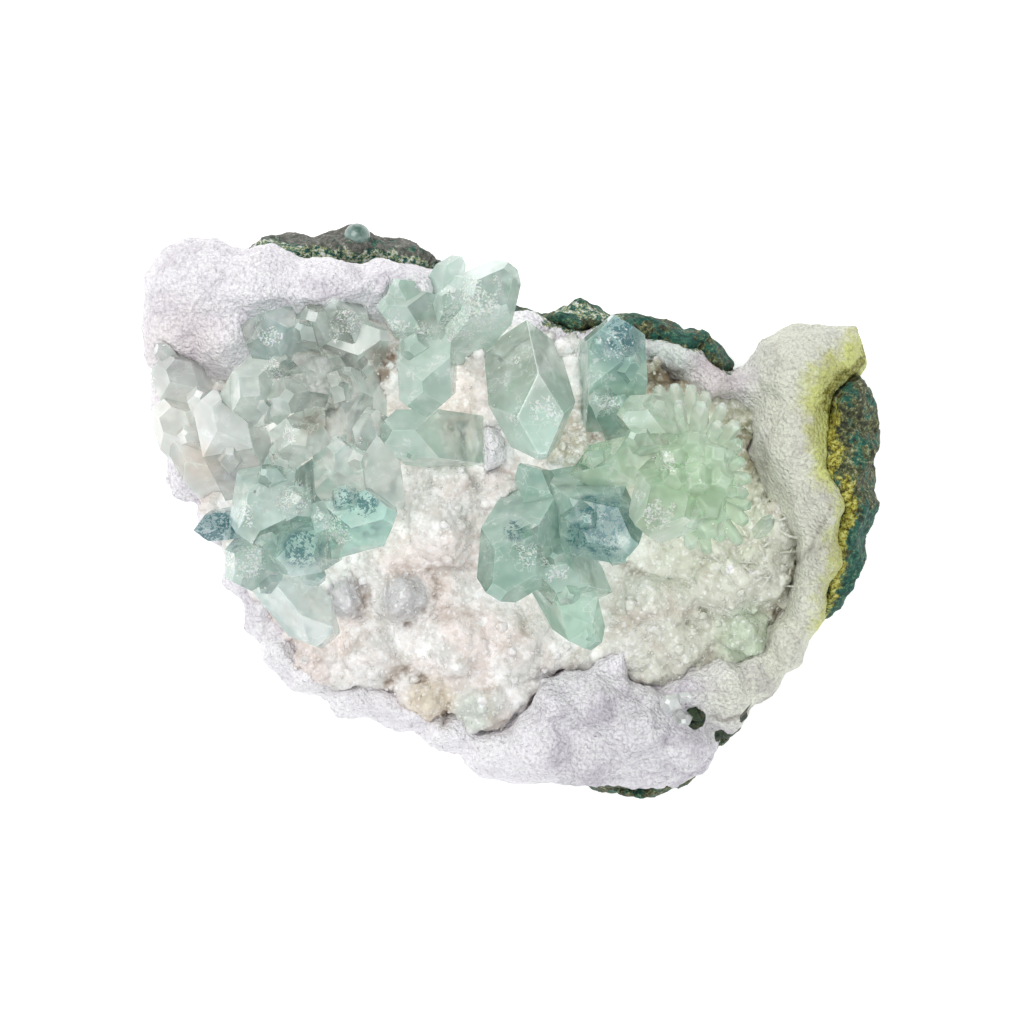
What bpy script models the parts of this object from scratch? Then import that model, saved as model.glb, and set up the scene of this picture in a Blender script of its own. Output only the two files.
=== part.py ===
# An apophyllite specimen, 122 mm wide, lying on its broken basalt back.
# Chalcedony lines a hollow in the basalt, fine quartz covers the hollow's floor,
# and square green prisms of apophyllite stand on the quartz.
# Lengths are millimetres until MM turns them into metres. +X is the long side, +Z is up.
import math
import random

import bmesh
import bpy
from mathutils import Matrix, Vector, noise

MM = 0.001

# Heights above the surface that the specimen lies on
BASALT_TOP = 7.5
CRUST_FLOOR = (4.0, 12.0)
DRUSE_FLOOR = (9.0, 15.0)

# Air left between two pieces that touch. Beside a sharp fold a corner moves further than the gap
# to keep it, up to this many times as far.
GAP = 0.3
MOST_CORNER_MOVE = 2

# Thinnest facet that is kept where pieces were cut
SLIVER = 0.02

# How each rough stone is made: the grid that melts its lumps together, how far the surface
# moves in or out, how wide the roughness is, and about how many facets are left
BASALT_SURFACE = (1.1, 1.1, 5, 700)
CRUST_SURFACE = (1.1, 0.7, 4, 1560)
DRUSE_SURFACE = (1.0, 1.3, 3, 1150)

# The end of a crystal: four faces that cut the corners of the square prism at this slope
POINT_SLOPE = 1.76
CORNER_TURN = math.radians(45)

# The broken edge of the basalt, clockwise from the left, seen from above
BASALT_EDGE = [
    (-56, 36), (-52, 43), (-45, 44.5), (-41, 45.5), (-34, 46.2), (-28, 47), (-19, 45.5), (-14, 43.5),
    (-11, 40.5), (-5, 36.5), (3.5, 33.5), (15, 33), (23.5, 31.5), (28, 30.5), (32, 28), (35, 24),
    (39, 21), (44, 25), (51, 28), (57, 26), (60.5, 19), (61, 6.5), (59.5, -1), (57.5, -7),
    (54.5, -12), (51, -17.5), (45.5, -26.5), (38, -34.5), (34.5, -39), (31, -44), (26.5, -47),
    (21, -47.5), (15, -46.5), (6, -42), (-4, -38), (-16, -32), (-32, -26), (-40, -14), (-45, -4),
    (-52, 8), (-56, 20),
]
# Rough heaps of basalt that stand past the crust: x, y, z and three half sizes
BASALT_HEAPS = [
    (-37, 43.2, 7, 7.5, 3.4, 7.5), (-27, 43.7, 7, 7, 3.9, 8), (-18.5, 42, 6, 5.5, 3.4, 7),
    (-26, 46.6, 10, 2.4, 2.2, 3.2),
    (11, 32.2, 9, 6.5, 2.4, 7.5), (22, 30.4, 10, 5.5, 2.6, 8.5), (29, 27.8, 10, 4.4, 3, 9),
    (33.8, 24.8, 10, 3, 3.6, 8.5),
    (54.6, 18, 12, 5, 5.5, 15.5), (54.2, 9.5, 12, 6, 8, 16.5), (55, 2, 11, 5, 7, 15.5),
    (54.6, -5, 10, 4.2, 6.5, 14), (52.8, -11.5, 9, 3, 5.5, 11.5),
    (35.4, -36, 6, 2.4, 3.2, 7), (23.5, -46, 6, 4.5, 2, 6),
    (29.7, -33.3, 15, 2.2, 2.1, 9.4),
]

# The edge of the chalcedony crust, clockwise from the left
CRUST_EDGE = [
    (-60.5, 33), (-57.5, 41), (-51, 45), (-45, 44.5), (-42, 42.5), (-32, 41), (-27, 42), (-18.5, 41.5),
    (-12, 39.5), (-8, 36.5), (1.5, 32), (8, 30), (14.5, 29.5), (21.5, 29), (28, 26.5), (32, 23.5), (37, 20.5),
    (40, 22.5), (43, 28), (48, 30.5), (53.5, 30.5), (57.5, 28.5), (57, 24), (52, 19), (52, 12),
    (53, 7), (55, 2), (55.5, -4.5), (54, -12), (52, -17), (49, -22), (45.5, -26.5), (42, -30.5),
    (38, -33.5), (35, -38), (31.5, -43), (27, -45.5), (15.5, -46), (10, -45), (0, -45), (-4.5, -41.5),
    (-8.5, -39), (-16.5, -36), (-25, -33.5), (-34, -29.5), (-38, -27), (-40, -23), (-41.5, -19),
    (-44, -15), (-46, -9.5), (-50, 0), (-55, 6), (-58, 12.5), (-60, 20), (-59.5, 26.5),
]
# Rounded growths of chalcedony: the knob at the upper left, the thin rim, the lobes and the right knob
CRUST_LUMPS = [
    (-51, 36, 17, 9.5, 9, 12), (-41, 37, 18, 9, 6.6, 12.5), (-31, 36, 18, 9, 5.6, 11.5),
    (-20, 36.5, 16, 8, 5, 10), (-54.5, 30, 15, 6, 8.5, 11), (-47, 30, 15, 8.5, 8, 12.5),
    (-12, 36.5, 12, 4.5, 3.6, 7),
    (-57, 17, 10, 2.8, 6, 6), (-54, 6.5, 10, 3.4, 4.5, 6), (-49.5, -1.5, 10, 3.4, 4, 5),
    (-45, -9.5, 9, 3, 5, 5.5), (-42, -16.5, 9, 3, 4.5, 6), (-38.2, -23, 10, 3.2, 4, 6),
    (-34, -27.5, 10, 4.2, 3, 6), (-26, -31, 10, 5, 3.2, 6), (-18, -33, 10, 5, 3.4, 6.5),
    (-10, -36.5, 11, 4.6, 3.4, 6.5), (-2.5, -40, 11, 5.5, 4.4, 8),
    (5.5, -38, 14, 6.5, 6, 8.5), (8.5, -30.5, 16, 5, 4.2, 8), (14.5, -31, 16, 5, 5.5, 9),
    (13, -40, 13, 6.5, 5, 9), (21, -35, 15, 6, 6.5, 9.5), (22, -42, 12, 6, 3.6, 8),
    (28, -38.5, 14, 4.5, 5, 8.5), (30, -30, 14, 4, 4, 8), (35, -28.5, 14, 4.2, 4.4, 8),
    (36, -33, 12, 3.6, 3.6, 7), (17, -25, 13, 3.4, 3, 5.5),
    (41, -27, 13, 3.6, 4.2, 7), (45, -21.5, 14, 3.4, 4.6, 8), (48.5, -15, 15, 3.6, 5.5, 9),
    (50.5, -7, 16, 4, 6, 10.5), (51, 0.5, 17, 4, 6, 11.5),
    (47.5, 22, 15, 8.2, 9, 13), (53, 25.5, 15, 5.2, 5.4, 11), (46.6, 12, 14, 7.2, 12, 14),
    (48.8, 3, 13, 5.4, 9, 14),
    (2, 31, 10, 5, 2.4, 6), (9, 28.8, 10, 5, 2.5, 6.5), (15.5, 28.5, 11, 4, 2.5, 7),
    (22, 27, 13, 4.6, 2.6, 8), (28, 24.7, 14, 4.4, 3, 8.5), (33, 21.9, 14, 3.6, 3, 8.5),
    (38.5, 21, 13, 2.8, 3.2, 7.5),
    (-3.3, 10.5, 14, 2.1, 4.4, 6),
]

# The edge of the floor of fine quartz
DRUSE_EDGE = [
    (-57, 24), (-50, 23), (-45, 22), (-42, 31), (-35, 32), (-18, 33), (-8, 34), (1.5, 30), (14, 27.5),
    (22, 26.5), (31, 24), (38, 19.5), (41, 17), (42, 8), (46, 2), (49, -5), (46, -15), (42.5, -21.5),
    (37, -24), (31, -26), (26, -28), (17, -27), (12, -26), (7, -25), (3, -31), (-4, -36.5), (-11, -33),
    (-17, -30), (-30, -28), (-36, -21), (-41, -14.5), (-46, -7.5), (-51, 1), (-55, 9), (-57.5, 16),
]
# Mounds in that floor, two round balls among them, and the mound with the brown branching
DRUSE_MOUNDS = [
    (-27.5, -14, 13.5, 3.5, 3.5, 6), (-17.8, -14, 14, 3.8, 3.8, 6.5), (-13.5, -31, 13, 3.5, 3.2, 6.5),
    (-24, -22, 12, 5.5, 4.5, 7), (-32, -25, 12, 4, 3, 6.5), (-9, -22, 12, 6, 6, 7),
    (-4, -31, 12, 5, 5, 6.5), (-12, -3, 12, 6, 7, 7.5), (-10, 4, 13, 5, 5, 6),
    (0, -22, 12, 5, 6, 7), (-1, 2, 12, 5, 5, 7), (24, -15, 12, 7, 6, 8),
    (18, -20, 12, 6, 4, 7), (28, -22, 12, 6, 4, 7.5), (35, -12, 12, 6, 6, 9),
    (38, -20, 12, 4.5, 3.5, 8), (42, -9, 12, 5, 6, 8.5), (44, -1, 12, 4.5, 5, 8),
    (-3, 19, 12, 4, 5, 7), (10, 22, 12, 4, 5, 6.5), (25, 25, 12, 5, 3, 8),
    (9, 10, 12, 5, 4, 6), (-21, 22, 12, 5, 6, 6), (-6, 26, 12, 5, 5, 6.5),
    (-52, 8, 11, 4, 4, 6.5), (-20, -8, 11, 5, 4, 6.5), (33, -4, 12, 5, 5, 7),
]

# Quartz points that stand out of the floor: how many, their sizes, how far they are sunk
# (in heights) and how far they lean
QUARTZ_POINTS = 34
QUARTZ_WIDTH = (2.2, 3.8)
QUARTZ_HEIGHT = (2.6, 4.4)
QUARTZ_SUNK = 0.35
QUARTZ_LEAN = 0.5
SEED = 7

# The crystals of each group: root, tip, width, depth, turn about its own axis in degrees,
# how much of the point is cut flat (in widths), and the size of the root end against the tip end
UPPER_LEFT = [
    ((-38.5, 27.5, 13), (-38, 28.5, 34), 9, 8, 20, 0.40, 0.9),
    ((-40.5, 20, 13), (-41.5, 20, 35), 10, 8, 50, 0.35, 0.9),
    ((-36.5, 20, 13), (-35.5, 18.5, 36), 7, 6, 12, 0.25, 0.9),
    ((-34.5, 12.5, 13), (-33.5, 12, 36.5), 8.2, 7.4, 35, 0.30, 0.9),
    ((-25, 17, 14), (-36, 25, 29), 10.5, 9, 10, 0.25, 1),
    ((-30, 28, 13), (-32, 31.5, 29.5), 7.5, 7, 30, 0.20, 0.95),
    ((-25.5, 26.5, 13), (-26.5, 32, 30), 6.5, 7.5, 15, 0.15, 1),
    ((-33, 25, 14), (-20.5, 28.5, 28), 8, 7.5, 45, 0.20, 1),
    ((-27.5, 10, 14), (-26.3, 23, 29.5), 6, 6, 45, 0.15, 1),
    ((-27, 1, 13), (-28.5, 11, 27), 8, 7, 0, 0.30, 1),
    ((-21.5, 2, 13), (-23, 16.5, 26), 6.5, 6.5, 20, 0.20, 1),
]
LEFT_EDGE = [
    ((-52, 18, 12), (-56, 24.5, 25), 7, 6, 10, 0.35, 1),
    ((-55, 24, 14), (-56.6, 26.6, 26.5), 2.6, 2.6, 40, 0.30, 1),
    ((-51, 10, 12), (-57, 17, 22), 7, 7, 0, 0.35, 1),
    ((-49, 5, 12), (-55, 12, 20), 5.5, 6, 20, 0.20, 1),
    ((-43, 6, 14), (-48, 18.5, 28), 8.5, 9, 5, 0.30, 1),
]
TOP = [
    ((-13, 35, 16), (-8.3, 41.3, 25), 3.8, 4, 15, 0.10, 1),
    ((-11, 28, 15), (-0.2, 39, 30), 8.5, 8.5, 8, 0.20, 1),
    ((-8.5, 30, 15), (-20.8, 33.2, 29), 6.5, 7, 0, 0.25, 1),
    ((-15, 30, 15), (-18.6, 37, 29), 5.5, 5, 30, 0.20, 1),
    ((-13.5, 31, 15), (-14, 17.3, 28), 8.5, 8, 5, 0.45, 1),
    ((-7.5, 11.5, 15), (-20.5, 13, 27), 8.5, 8, 5, 0.30, 1),
]
CENTRE = [
    ((1.5, 27.5, 16), (4.8, 9, 31), 11.5, 11, 42, 0.12, 0.8),
]
LOWER_LEFT = [
    ((-34, 8, 13), (-42, -3, 32), 11, 11, 10, 0.25, 1),
    ((-43, -1, 17), (-51.5, -2.8, 25), 4.5, 4.5, 0, 0.0, 1),
    ((-39.5, -4, 15), (-43.8, -10.6, 31), 6.8, 6.8, 20, 0.20, 1),
    ((-31.5, -4, 14), (-36, -7.2, 33), 7.5, 7, 0, 0.25, 1),
    ((-32, -2, 13), (-19.5, -0.5, 28), 10, 9.5, 20, 0.20, 1),
    ((-34.5, -2, 14), (-34.5, 2.3, 34), 5, 5, 10, 0.30, 1),
    ((-41.5, -7, 16), (-30, -20.8, 20), 6.8, 6.5, 0, 0.50, 1),
]
MIDDLE = [
    ((10, -3, 14), (1.3, 7.8, 25), 5, 5, 10, 0.10, 1),
    ((6, 1.5, 14), (-2.5, -12.6, 32), 10.5, 10.5, 12, 0.22, 1),
    ((8.5, 3, 15), (18.8, -5.3, 32), 10.5, 10, 5, 0.20, 1),
    ((12.5, -11.5, 14), (4.3, -9.3, 28), 7, 7, 25, 0.15, 1),
    ((7, -10.5, 17), (13.3, -21.6, 22), 7, 6.5, 5, 0.30, 1),
]
UPPER_RIGHT = [
    ((16, 17.5, 13), (16.8, 29.6, 30), 9.5, 9.5, 8, 0.35, 1),
    ((18, 14.5, 13), (14, 22, 25), 6, 6, 20, 0.20, 1),
]
SPRAY = [
    ((30, 14.5, 15), (17.5, 16, 29), 6.5, 6.5, 10, 0.20, 1),
    ((27, 10, 14), (9.3, 6.3, 25), 8, 8, 15, 0.0, 1),
    ((31.5, 8, 15), (21.3, -2, 33), 10, 10, 5, 0.25, 1),
    ((31, 8, 14), (29, 7, 30), 9, 9, 20, 0.30, 1),
]
# The fingers of the spray end at these places, all from one root
SPRAY_ROOT = (31, 7.5, 19)
FINGER_TIPS = [
    (23.3, 21, 23), (26.2, 21.4, 24), (29, 21.2, 26), (31.4, 20.8, 24), (34.4, 18.6, 26),
    (36.8, 15.4, 25), (33.8, 14.8, 29), (37.3, 12.2, 28), (37.6, 8.8, 26), (39.2, 6.6, 24),
    (38.6, 4.2, 27), (39.4, 2.2, 25), (39.8, 0, 23), (38.4, -5.2, 23), (34.6, -4.8, 26),
    (32, -7, 24), (28.6, -6, 26), (35.4, 3.4, 30),
]
FINGER_WIDTH = 2.9
FINGER_TURN = 31
FINGER_FLAT = 0.6
FINGER_ROOT_SIZE = 0.8
SMALL_RIGHT = [
    ((40.3, -3.4, 18), (42.2, -0.6, 23), 1.9, 1.9, 10, 0.2, 1),
]


def clear_scene():
    for old in list(bpy.data.objects):
        bpy.data.objects.remove(old, do_unlink=True)


def collection(name):
    made = bpy.data.collections.new(name)
    bpy.context.scene.collection.children.link(made)
    return made


def stone(name, colour, roughness, clear=0.0):
    """A Principled material; clear is how much light passes through it."""
    made = bpy.data.materials.new(name)
    made.use_nodes = True
    shader = made.node_tree.nodes["Principled BSDF"]
    shader.inputs["Base Color"].default_value = (*colour, 1)
    shader.inputs["Roughness"].default_value = roughness
    shader.inputs["Metallic"].default_value = 0
    shader.inputs["Transmission Weight"].default_value = clear
    shader.inputs["IOR"].default_value = 1.535
    return made


def new_object(name, mesh, where):
    made = bpy.data.objects.new(name, mesh)
    where.objects.link(made)
    return made


def object_of(bm, name, where):
    """The bmesh as an object; the bmesh is used up."""
    bmesh.ops.recalc_face_normals(bm, faces=bm.faces)
    mesh = bpy.data.meshes.new(name)
    bm.to_mesh(mesh)
    bm.free()
    return new_object(name, mesh, where)


def settled(piece):
    """Applies the modifiers of a piece, so that its mesh is the finished one."""
    graph = bpy.context.evaluated_depsgraph_get()
    mesh = bpy.data.meshes.new_from_object(piece.evaluated_get(graph))
    piece.modifiers.clear()
    piece.data = mesh
    return piece


def add_slab(bm, outline, low, high):
    """A flat outline, drawn as a 2D curve and extruded, added to the bmesh."""
    curve = bpy.data.curves.new("outline", "CURVE")
    curve.dimensions = "2D"
    curve.fill_mode = "BOTH"
    curve.extrude = (high - low) * MM / 2
    spline = curve.splines.new("POLY")
    spline.points.add(len(outline) - 1)
    for point, (x, y) in zip(spline.points, outline):
        point.co = (x * MM, y * MM, 0, 1)
    spline.use_cyclic_u = True
    guide = new_object("outline", curve, bpy.context.scene.collection)
    guide.location.z = (low + high) * MM / 2
    bpy.context.view_layer.update()
    graph = bpy.context.evaluated_depsgraph_get()
    mesh = bpy.data.meshes.new_from_object(guide.evaluated_get(graph))
    mesh.transform(guide.matrix_world)
    bm.from_mesh(mesh)
    bmesh.ops.remove_doubles(bm, verts=bm.verts, dist=1e-6)
    bpy.data.objects.remove(guide, do_unlink=True)


def add_lump(bm, x, y, z, half_x, half_y, half_z):
    size = Matrix.Diagonal((half_x * MM, half_y * MM, half_z * MM, 1))
    place = Matrix.Translation(Vector((x, y, z)) * MM)
    bmesh.ops.create_icosphere(bm, subdivisions=3, radius=1, matrix=place @ size)


def weathered(piece, voxel, relief, grain, facets):
    """Melts the shapes of a piece together, roughens the surface and leaves broad facets."""
    melt = piece.modifiers.new("melt", "REMESH")
    melt.mode = "VOXEL"
    melt.voxel_size = voxel * MM
    settled(piece)
    bm = bmesh.new()
    bm.from_mesh(piece.data)
    bm.normal_update()
    for vert in bm.verts:
        spot = vert.co / (grain * MM)
        vert.co += vert.normal * relief * MM * noise.fractal(spot, 1, 2, 3)
    bm.to_mesh(piece.data)
    bm.free()
    thin = piece.modifiers.new("facets", "DECIMATE")
    thin.ratio = facets / (2 * len(piece.data.polygons))
    thin.use_collapse_triangulate = True
    return settled(piece)


def crystal(root, tip, width, depth, turn, flat, root_size, grow=0):
    """A square prism whose corners are cut by four faces that meet in a point.

    Each of its faces can be moved out by the same distance, grow.
    """
    root, tip = Vector(root), Vector(tip)
    length = (tip - root).length
    bm = bmesh.new()
    bmesh.ops.create_cube(bm, size=1)
    bmesh.ops.translate(bm, vec=(0, 0, 0.5), verts=bm.verts)
    bmesh.ops.scale(bm, vec=(width + 2 * grow, depth + 2 * grow, length + 2 * grow), verts=bm.verts)
    bmesh.ops.translate(bm, vec=(0, 0, -grow), verts=bm.verts)
    for vert in bm.verts:
        if vert.co.z < length / 2:
            vert.co.xy *= root_size
    apex = Vector((0, 0, length + flat * min(width, depth) + grow * math.hypot(1, POINT_SLOPE)))
    for quarter in range(4):
        facing = CORNER_TURN + quarter * math.radians(90)
        normal = Vector((math.cos(facing) * POINT_SLOPE, math.sin(facing) * POINT_SLOPE, 1))
        cut = bmesh.ops.bisect_plane(
            bm,
            geom=bm.verts[:] + bm.edges[:] + bm.faces[:],
            plane_co=apex,
            plane_no=normal,
            clear_outer=True,
        )
        rim = [item for item in cut["geom_cut"] if isinstance(item, bmesh.types.BMEdge)]
        bmesh.ops.edgeloop_fill(bm, edges=rim)
    bmesh.ops.rotate(bm, matrix=Matrix.Rotation(math.radians(turn), 3, "Z"), verts=bm.verts)
    aim = Vector((0, 0, 1)).rotation_difference(tip - root).to_matrix()
    bmesh.ops.rotate(bm, matrix=aim, verts=bm.verts)
    bmesh.ops.translate(bm, vec=root, verts=bm.verts)
    bmesh.ops.scale(bm, vec=(MM, MM, MM), verts=bm.verts)
    return bm


def boolean(piece, other, operation, solver="EXACT"):
    change = piece.modifiers.new("boolean", "BOOLEAN")
    change.operation = operation
    change.solver = solver
    change.object = other
    settled(piece)


def fused(name, crystals, where, grow=0):
    """Crystals that grew into each other, as one solid."""
    piece = object_of(crystal(*crystals[0], grow), name, where)
    for shape in crystals[1:]:
        other = object_of(crystal(*shape, grow), "neighbour", where)
        boolean(piece, other, "UNION")
        bpy.data.objects.remove(other, do_unlink=True)
    return piece


def room_around(piece, where):
    """A copy of a piece that is larger by the gap on every side."""
    bm = bmesh.new()
    bm.from_mesh(piece.data)
    bm.normal_update()
    moves = [
        vert.normal * GAP * MM * min(vert.calc_shell_factor(), MOST_CORNER_MOVE)
        for vert in bm.verts
    ]
    for vert, move in zip(bm.verts, moves):
        vert.co += move
    return object_of(bm, "room", where)


def make_room(piece, rooms):
    """Cuts the spaces of the neighbours from a piece.

    The exact solver leaves open edges on the rough stones, so this is done by the manifold one.
    """
    for room in rooms:
        boolean(piece, room, "DIFFERENCE", "MANIFOLD")


def without_crumbs(piece):
    """Leaves only the largest body of a piece."""
    bm = bmesh.new()
    bm.from_mesh(piece.data)
    bmesh.ops.dissolve_degenerate(bm, edges=bm.edges, dist=SLIVER * MM)
    left = set(bm.faces)
    bodies = []
    while left:
        body = set()
        front = [left.pop()]
        while front:
            face = front.pop()
            body.add(face)
            paired = [edge for edge in face.edges if len(edge.link_faces) == 2]
            near = {other for edge in paired for other in edge.link_faces} & left
            left -= near
            front.extend(near)
        bodies.append(body)
    bodies.sort(key=len)
    for body in bodies[:-1]:
        bmesh.ops.delete(bm, geom=list(body), context="FACES")
    bmesh.ops.triangulate(bm, faces=bm.faces)
    bm.to_mesh(piece.data)
    bm.free()


def cut_flat(piece):
    """Removes what is below the resting surface and closes the cut."""
    bm = bmesh.new()
    bm.from_mesh(piece.data)
    cut = bmesh.ops.bisect_plane(
        bm,
        geom=bm.verts[:] + bm.edges[:] + bm.faces[:],
        plane_co=(0, 0, 0),
        plane_no=(0, 0, -1),
        clear_outer=True,
    )
    rim = [item for item in cut["geom_cut"] if isinstance(item, bmesh.types.BMEdge)]
    bmesh.ops.triangle_fill(bm, edges=rim, use_beauty=True)
    bmesh.ops.recalc_face_normals(bm, faces=bm.faces)
    bm.to_mesh(piece.data)
    bm.free()


def dressed(piece, material):
    piece.data.materials.clear()
    piece.data.materials.append(material)


def make_basalt(where):
    bm = bmesh.new()
    add_slab(bm, BASALT_EDGE, -3, BASALT_TOP)
    for heap in BASALT_HEAPS:
        add_lump(bm, *heap)
    basalt = object_of(bm, "basalt_matrix", where)
    weathered(basalt, *BASALT_SURFACE)
    cut_flat(basalt)
    return basalt


def make_crust(where):
    bm = bmesh.new()
    add_slab(bm, CRUST_EDGE, *CRUST_FLOOR)
    for lump in CRUST_LUMPS:
        add_lump(bm, *lump)
    crust = object_of(bm, "chalcedony_crust", where)
    return weathered(crust, *CRUST_SURFACE)


def quartz_points(druse, where):
    """Six-sided points that lean out of the floor, where a ray from above meets it."""
    draw = random.Random(SEED)
    low = [min(edge[axis] for edge in DRUSE_EDGE) for axis in (0, 1)]
    high = [max(edge[axis] for edge in DRUSE_EDGE) for axis in (0, 1)]
    made = []
    while len(made) < QUARTZ_POINTS:
        x, y = draw.uniform(low[0], high[0]), draw.uniform(low[1], high[1])
        hit, spot, normal, _ = druse.ray_cast((x * MM, y * MM, 1), (0, 0, -1))
        if not hit or normal.z < 0.5:
            continue
        width, height = draw.uniform(*QUARTZ_WIDTH) * MM, draw.uniform(*QUARTZ_HEIGHT) * MM
        lean = Vector((draw.gauss(0, QUARTZ_LEAN), draw.gauss(0, QUARTZ_LEAN), 0))
        aim = Vector((0, 0, 1)).rotation_difference(normal + lean).to_matrix().to_4x4()
        rise = Matrix.Translation((0, 0, height * (0.5 - QUARTZ_SUNK)))
        bm = bmesh.new()
        bmesh.ops.create_cone(
            bm, cap_ends=True, segments=6, radius1=width / 2, radius2=0, depth=height,
            matrix=Matrix.Translation(spot) @ aim @ rise,
        )
        made.append(object_of(bm, "point", where))
    return made


def make_druse(where):
    bm = bmesh.new()
    add_slab(bm, DRUSE_EDGE, *DRUSE_FLOOR)
    for mound in DRUSE_MOUNDS:
        add_lump(bm, *mound)
    druse = object_of(bm, "quartz_druse", where)
    weathered(druse, *DRUSE_SURFACE)
    for point in quartz_points(druse, where):
        boolean(druse, point, "UNION", "MANIFOLD")
        bpy.data.objects.remove(point, do_unlink=True)
    return druse


clear_scene()
specimen = collection("apophyllite specimen")
workshop = collection("cutters")
workshop.hide_render = True

basalt = make_basalt(specimen)
crust = make_crust(specimen)
druse = make_druse(specimen)

fingers = [
    (SPRAY_ROOT, tip, FINGER_WIDTH, FINGER_WIDTH, number * FINGER_TURN, FINGER_FLAT, FINGER_ROOT_SIZE)
    for number, tip in enumerate(FINGER_TIPS)
]
groups = {
    "apophyllite_upper_left": UPPER_LEFT,
    "apophyllite_left_edge": LEFT_EDGE,
    "apophyllite_top": TOP,
    "apophyllite_centre_prism": CENTRE,
    "apophyllite_lower_left": LOWER_LEFT,
    "apophyllite_middle": MIDDLE,
    "apophyllite_upper_right": UPPER_RIGHT,
    "apophyllite_spray": SPRAY + fingers,
    "apophyllite_small_prism": SMALL_RIGHT,
}
crystals = [fused(name, shapes, specimen) for name, shapes in groups.items()]
rooms = [fused("room", shapes, workshop, GAP) for shapes in groups.values()]
for number, group in enumerate(crystals):
    make_room(group, rooms[:number])
# A fold in the grown copy can leave a bit of the stone out, so the stone itself is cut out too
make_room(crust, [room_around(basalt, workshop), basalt])
without_crumbs(crust)
make_room(druse, [room_around(crust, workshop), crust])
make_room(crust, rooms)
make_room(druse, rooms)
for piece in [basalt, crust, druse] + crystals:
    without_crumbs(piece)

basalt_stone = stone("basalt", (0.13, 0.14, 0.10), 0.8)
chalcedony = stone("chalcedony", (0.86, 0.83, 0.87), 0.6)
quartz = stone("quartz", (0.83, 0.79, 0.74), 0.4)
apophyllite = stone("apophyllite", (0.50, 0.74, 0.64), 0.08, 0.8)
dressed(basalt, basalt_stone)
dressed(crust, chalcedony)
dressed(druse, quartz)
for group in crystals:
    dressed(group, apophyllite)
for cutter in list(workshop.objects):
    bpy.data.objects.remove(cutter, do_unlink=True)
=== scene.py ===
# %% [markdown]
# An apophyllite specimen, dressed around its packed solids. Mint green crystals stand on a bed of
# pale quartz druse, which lines a crust of white chalcedony, which in turn grew on dark basalt.
# The solids already give every form its true size and place. They come in first and stay fixed,
# and each skin made below starts as a copy of its own solid.

# %% Load the solids
import math
import random

import bmesh
import bpy
import numpy
from mathutils import Matrix, Vector, bvhtree, noise


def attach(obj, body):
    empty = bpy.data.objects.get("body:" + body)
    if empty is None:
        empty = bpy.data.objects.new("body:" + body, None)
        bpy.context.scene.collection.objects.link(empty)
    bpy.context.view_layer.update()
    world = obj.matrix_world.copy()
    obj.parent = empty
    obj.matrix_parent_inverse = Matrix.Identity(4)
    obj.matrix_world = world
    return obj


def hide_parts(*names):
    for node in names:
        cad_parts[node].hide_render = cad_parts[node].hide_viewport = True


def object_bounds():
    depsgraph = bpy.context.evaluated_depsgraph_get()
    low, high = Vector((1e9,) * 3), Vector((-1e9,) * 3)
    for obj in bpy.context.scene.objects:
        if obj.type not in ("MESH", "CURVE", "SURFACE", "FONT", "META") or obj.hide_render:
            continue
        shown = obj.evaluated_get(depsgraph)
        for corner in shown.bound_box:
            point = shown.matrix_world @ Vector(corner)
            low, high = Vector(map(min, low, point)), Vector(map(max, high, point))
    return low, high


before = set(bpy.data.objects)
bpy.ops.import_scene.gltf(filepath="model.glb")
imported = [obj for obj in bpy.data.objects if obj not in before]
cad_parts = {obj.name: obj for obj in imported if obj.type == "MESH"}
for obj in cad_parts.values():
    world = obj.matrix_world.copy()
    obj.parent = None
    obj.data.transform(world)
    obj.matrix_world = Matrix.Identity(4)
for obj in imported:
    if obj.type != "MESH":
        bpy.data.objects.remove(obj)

MM = 0.001
CAD_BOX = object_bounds()
LOW, HIGH = CAD_BOX
print("nodes:", sorted(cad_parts))
print("size in mm:", [round(side / MM, 1) for side in HIGH - LOW])

# %% [markdown]
# The camera hangs straight above the stone, as it did for a catalogue picture, with the top of the
# picture towards +Y. A long lens at about half a metre keeps the tall crystals from leaning out.
# The lens is worked out from how much width the picture should show at the height of the crystals.

# %% Camera
EYE_HEIGHT = 485 * MM
SHARP_HEIGHT = 18 * MM
PICTURE_WIDTH = 167.9 * MM
PICTURE_MIDDLE = 0.16 * MM
SENSOR = 36.0

camera_data = bpy.data.cameras.new("eye")
camera_data.sensor_width = SENSOR
camera_data.lens = SENSOR * (EYE_HEIGHT - SHARP_HEIGHT) / PICTURE_WIDTH
camera_data.clip_start = 0.01
camera_data.clip_end = 20
camera = bpy.data.objects.new("eye", camera_data)
camera.location = (0, PICTURE_MIDDLE, EYE_HEIGHT)
bpy.context.scene.collection.objects.link(camera)
bpy.context.scene.camera = camera
print("lens:", round(camera_data.lens, 1), "mm")

# %% [markdown]
# Pale minerals need a plain view transform: the filmic one would grey the white crust. A white
# floor, a white world and two large soft lamps give the even light of a light tent, with just
# enough slant from the upper left to model the lumps. The floor glows a little by itself, as a
# light table does, which takes the stone's shadow away.

# %% Light and floor
bpy.context.scene.view_settings.view_transform = "Standard"
bpy.context.scene.view_settings.look = "None"

world = bpy.data.worlds.new("tent")
world.use_nodes = True
world.node_tree.nodes["Background"].inputs["Color"].default_value = (0.97, 0.985, 1.0, 1)
world.node_tree.nodes["Background"].inputs["Strength"].default_value = 0.6
bpy.context.scene.world = world


def softbox(name, place, width, watts, colour):
    """A square lamp that faces the middle of the stone."""
    lamp = bpy.data.lights.new(name, "AREA")
    lamp.shape = "SQUARE"
    lamp.size = width
    lamp.energy = watts
    lamp.color = colour
    holder = bpy.data.objects.new(name, lamp)
    holder.location = place
    holder.rotation_euler = (-Vector(place)).to_track_quat("-Z", "Y").to_euler()
    bpy.context.scene.collection.objects.link(holder)
    return holder


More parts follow.
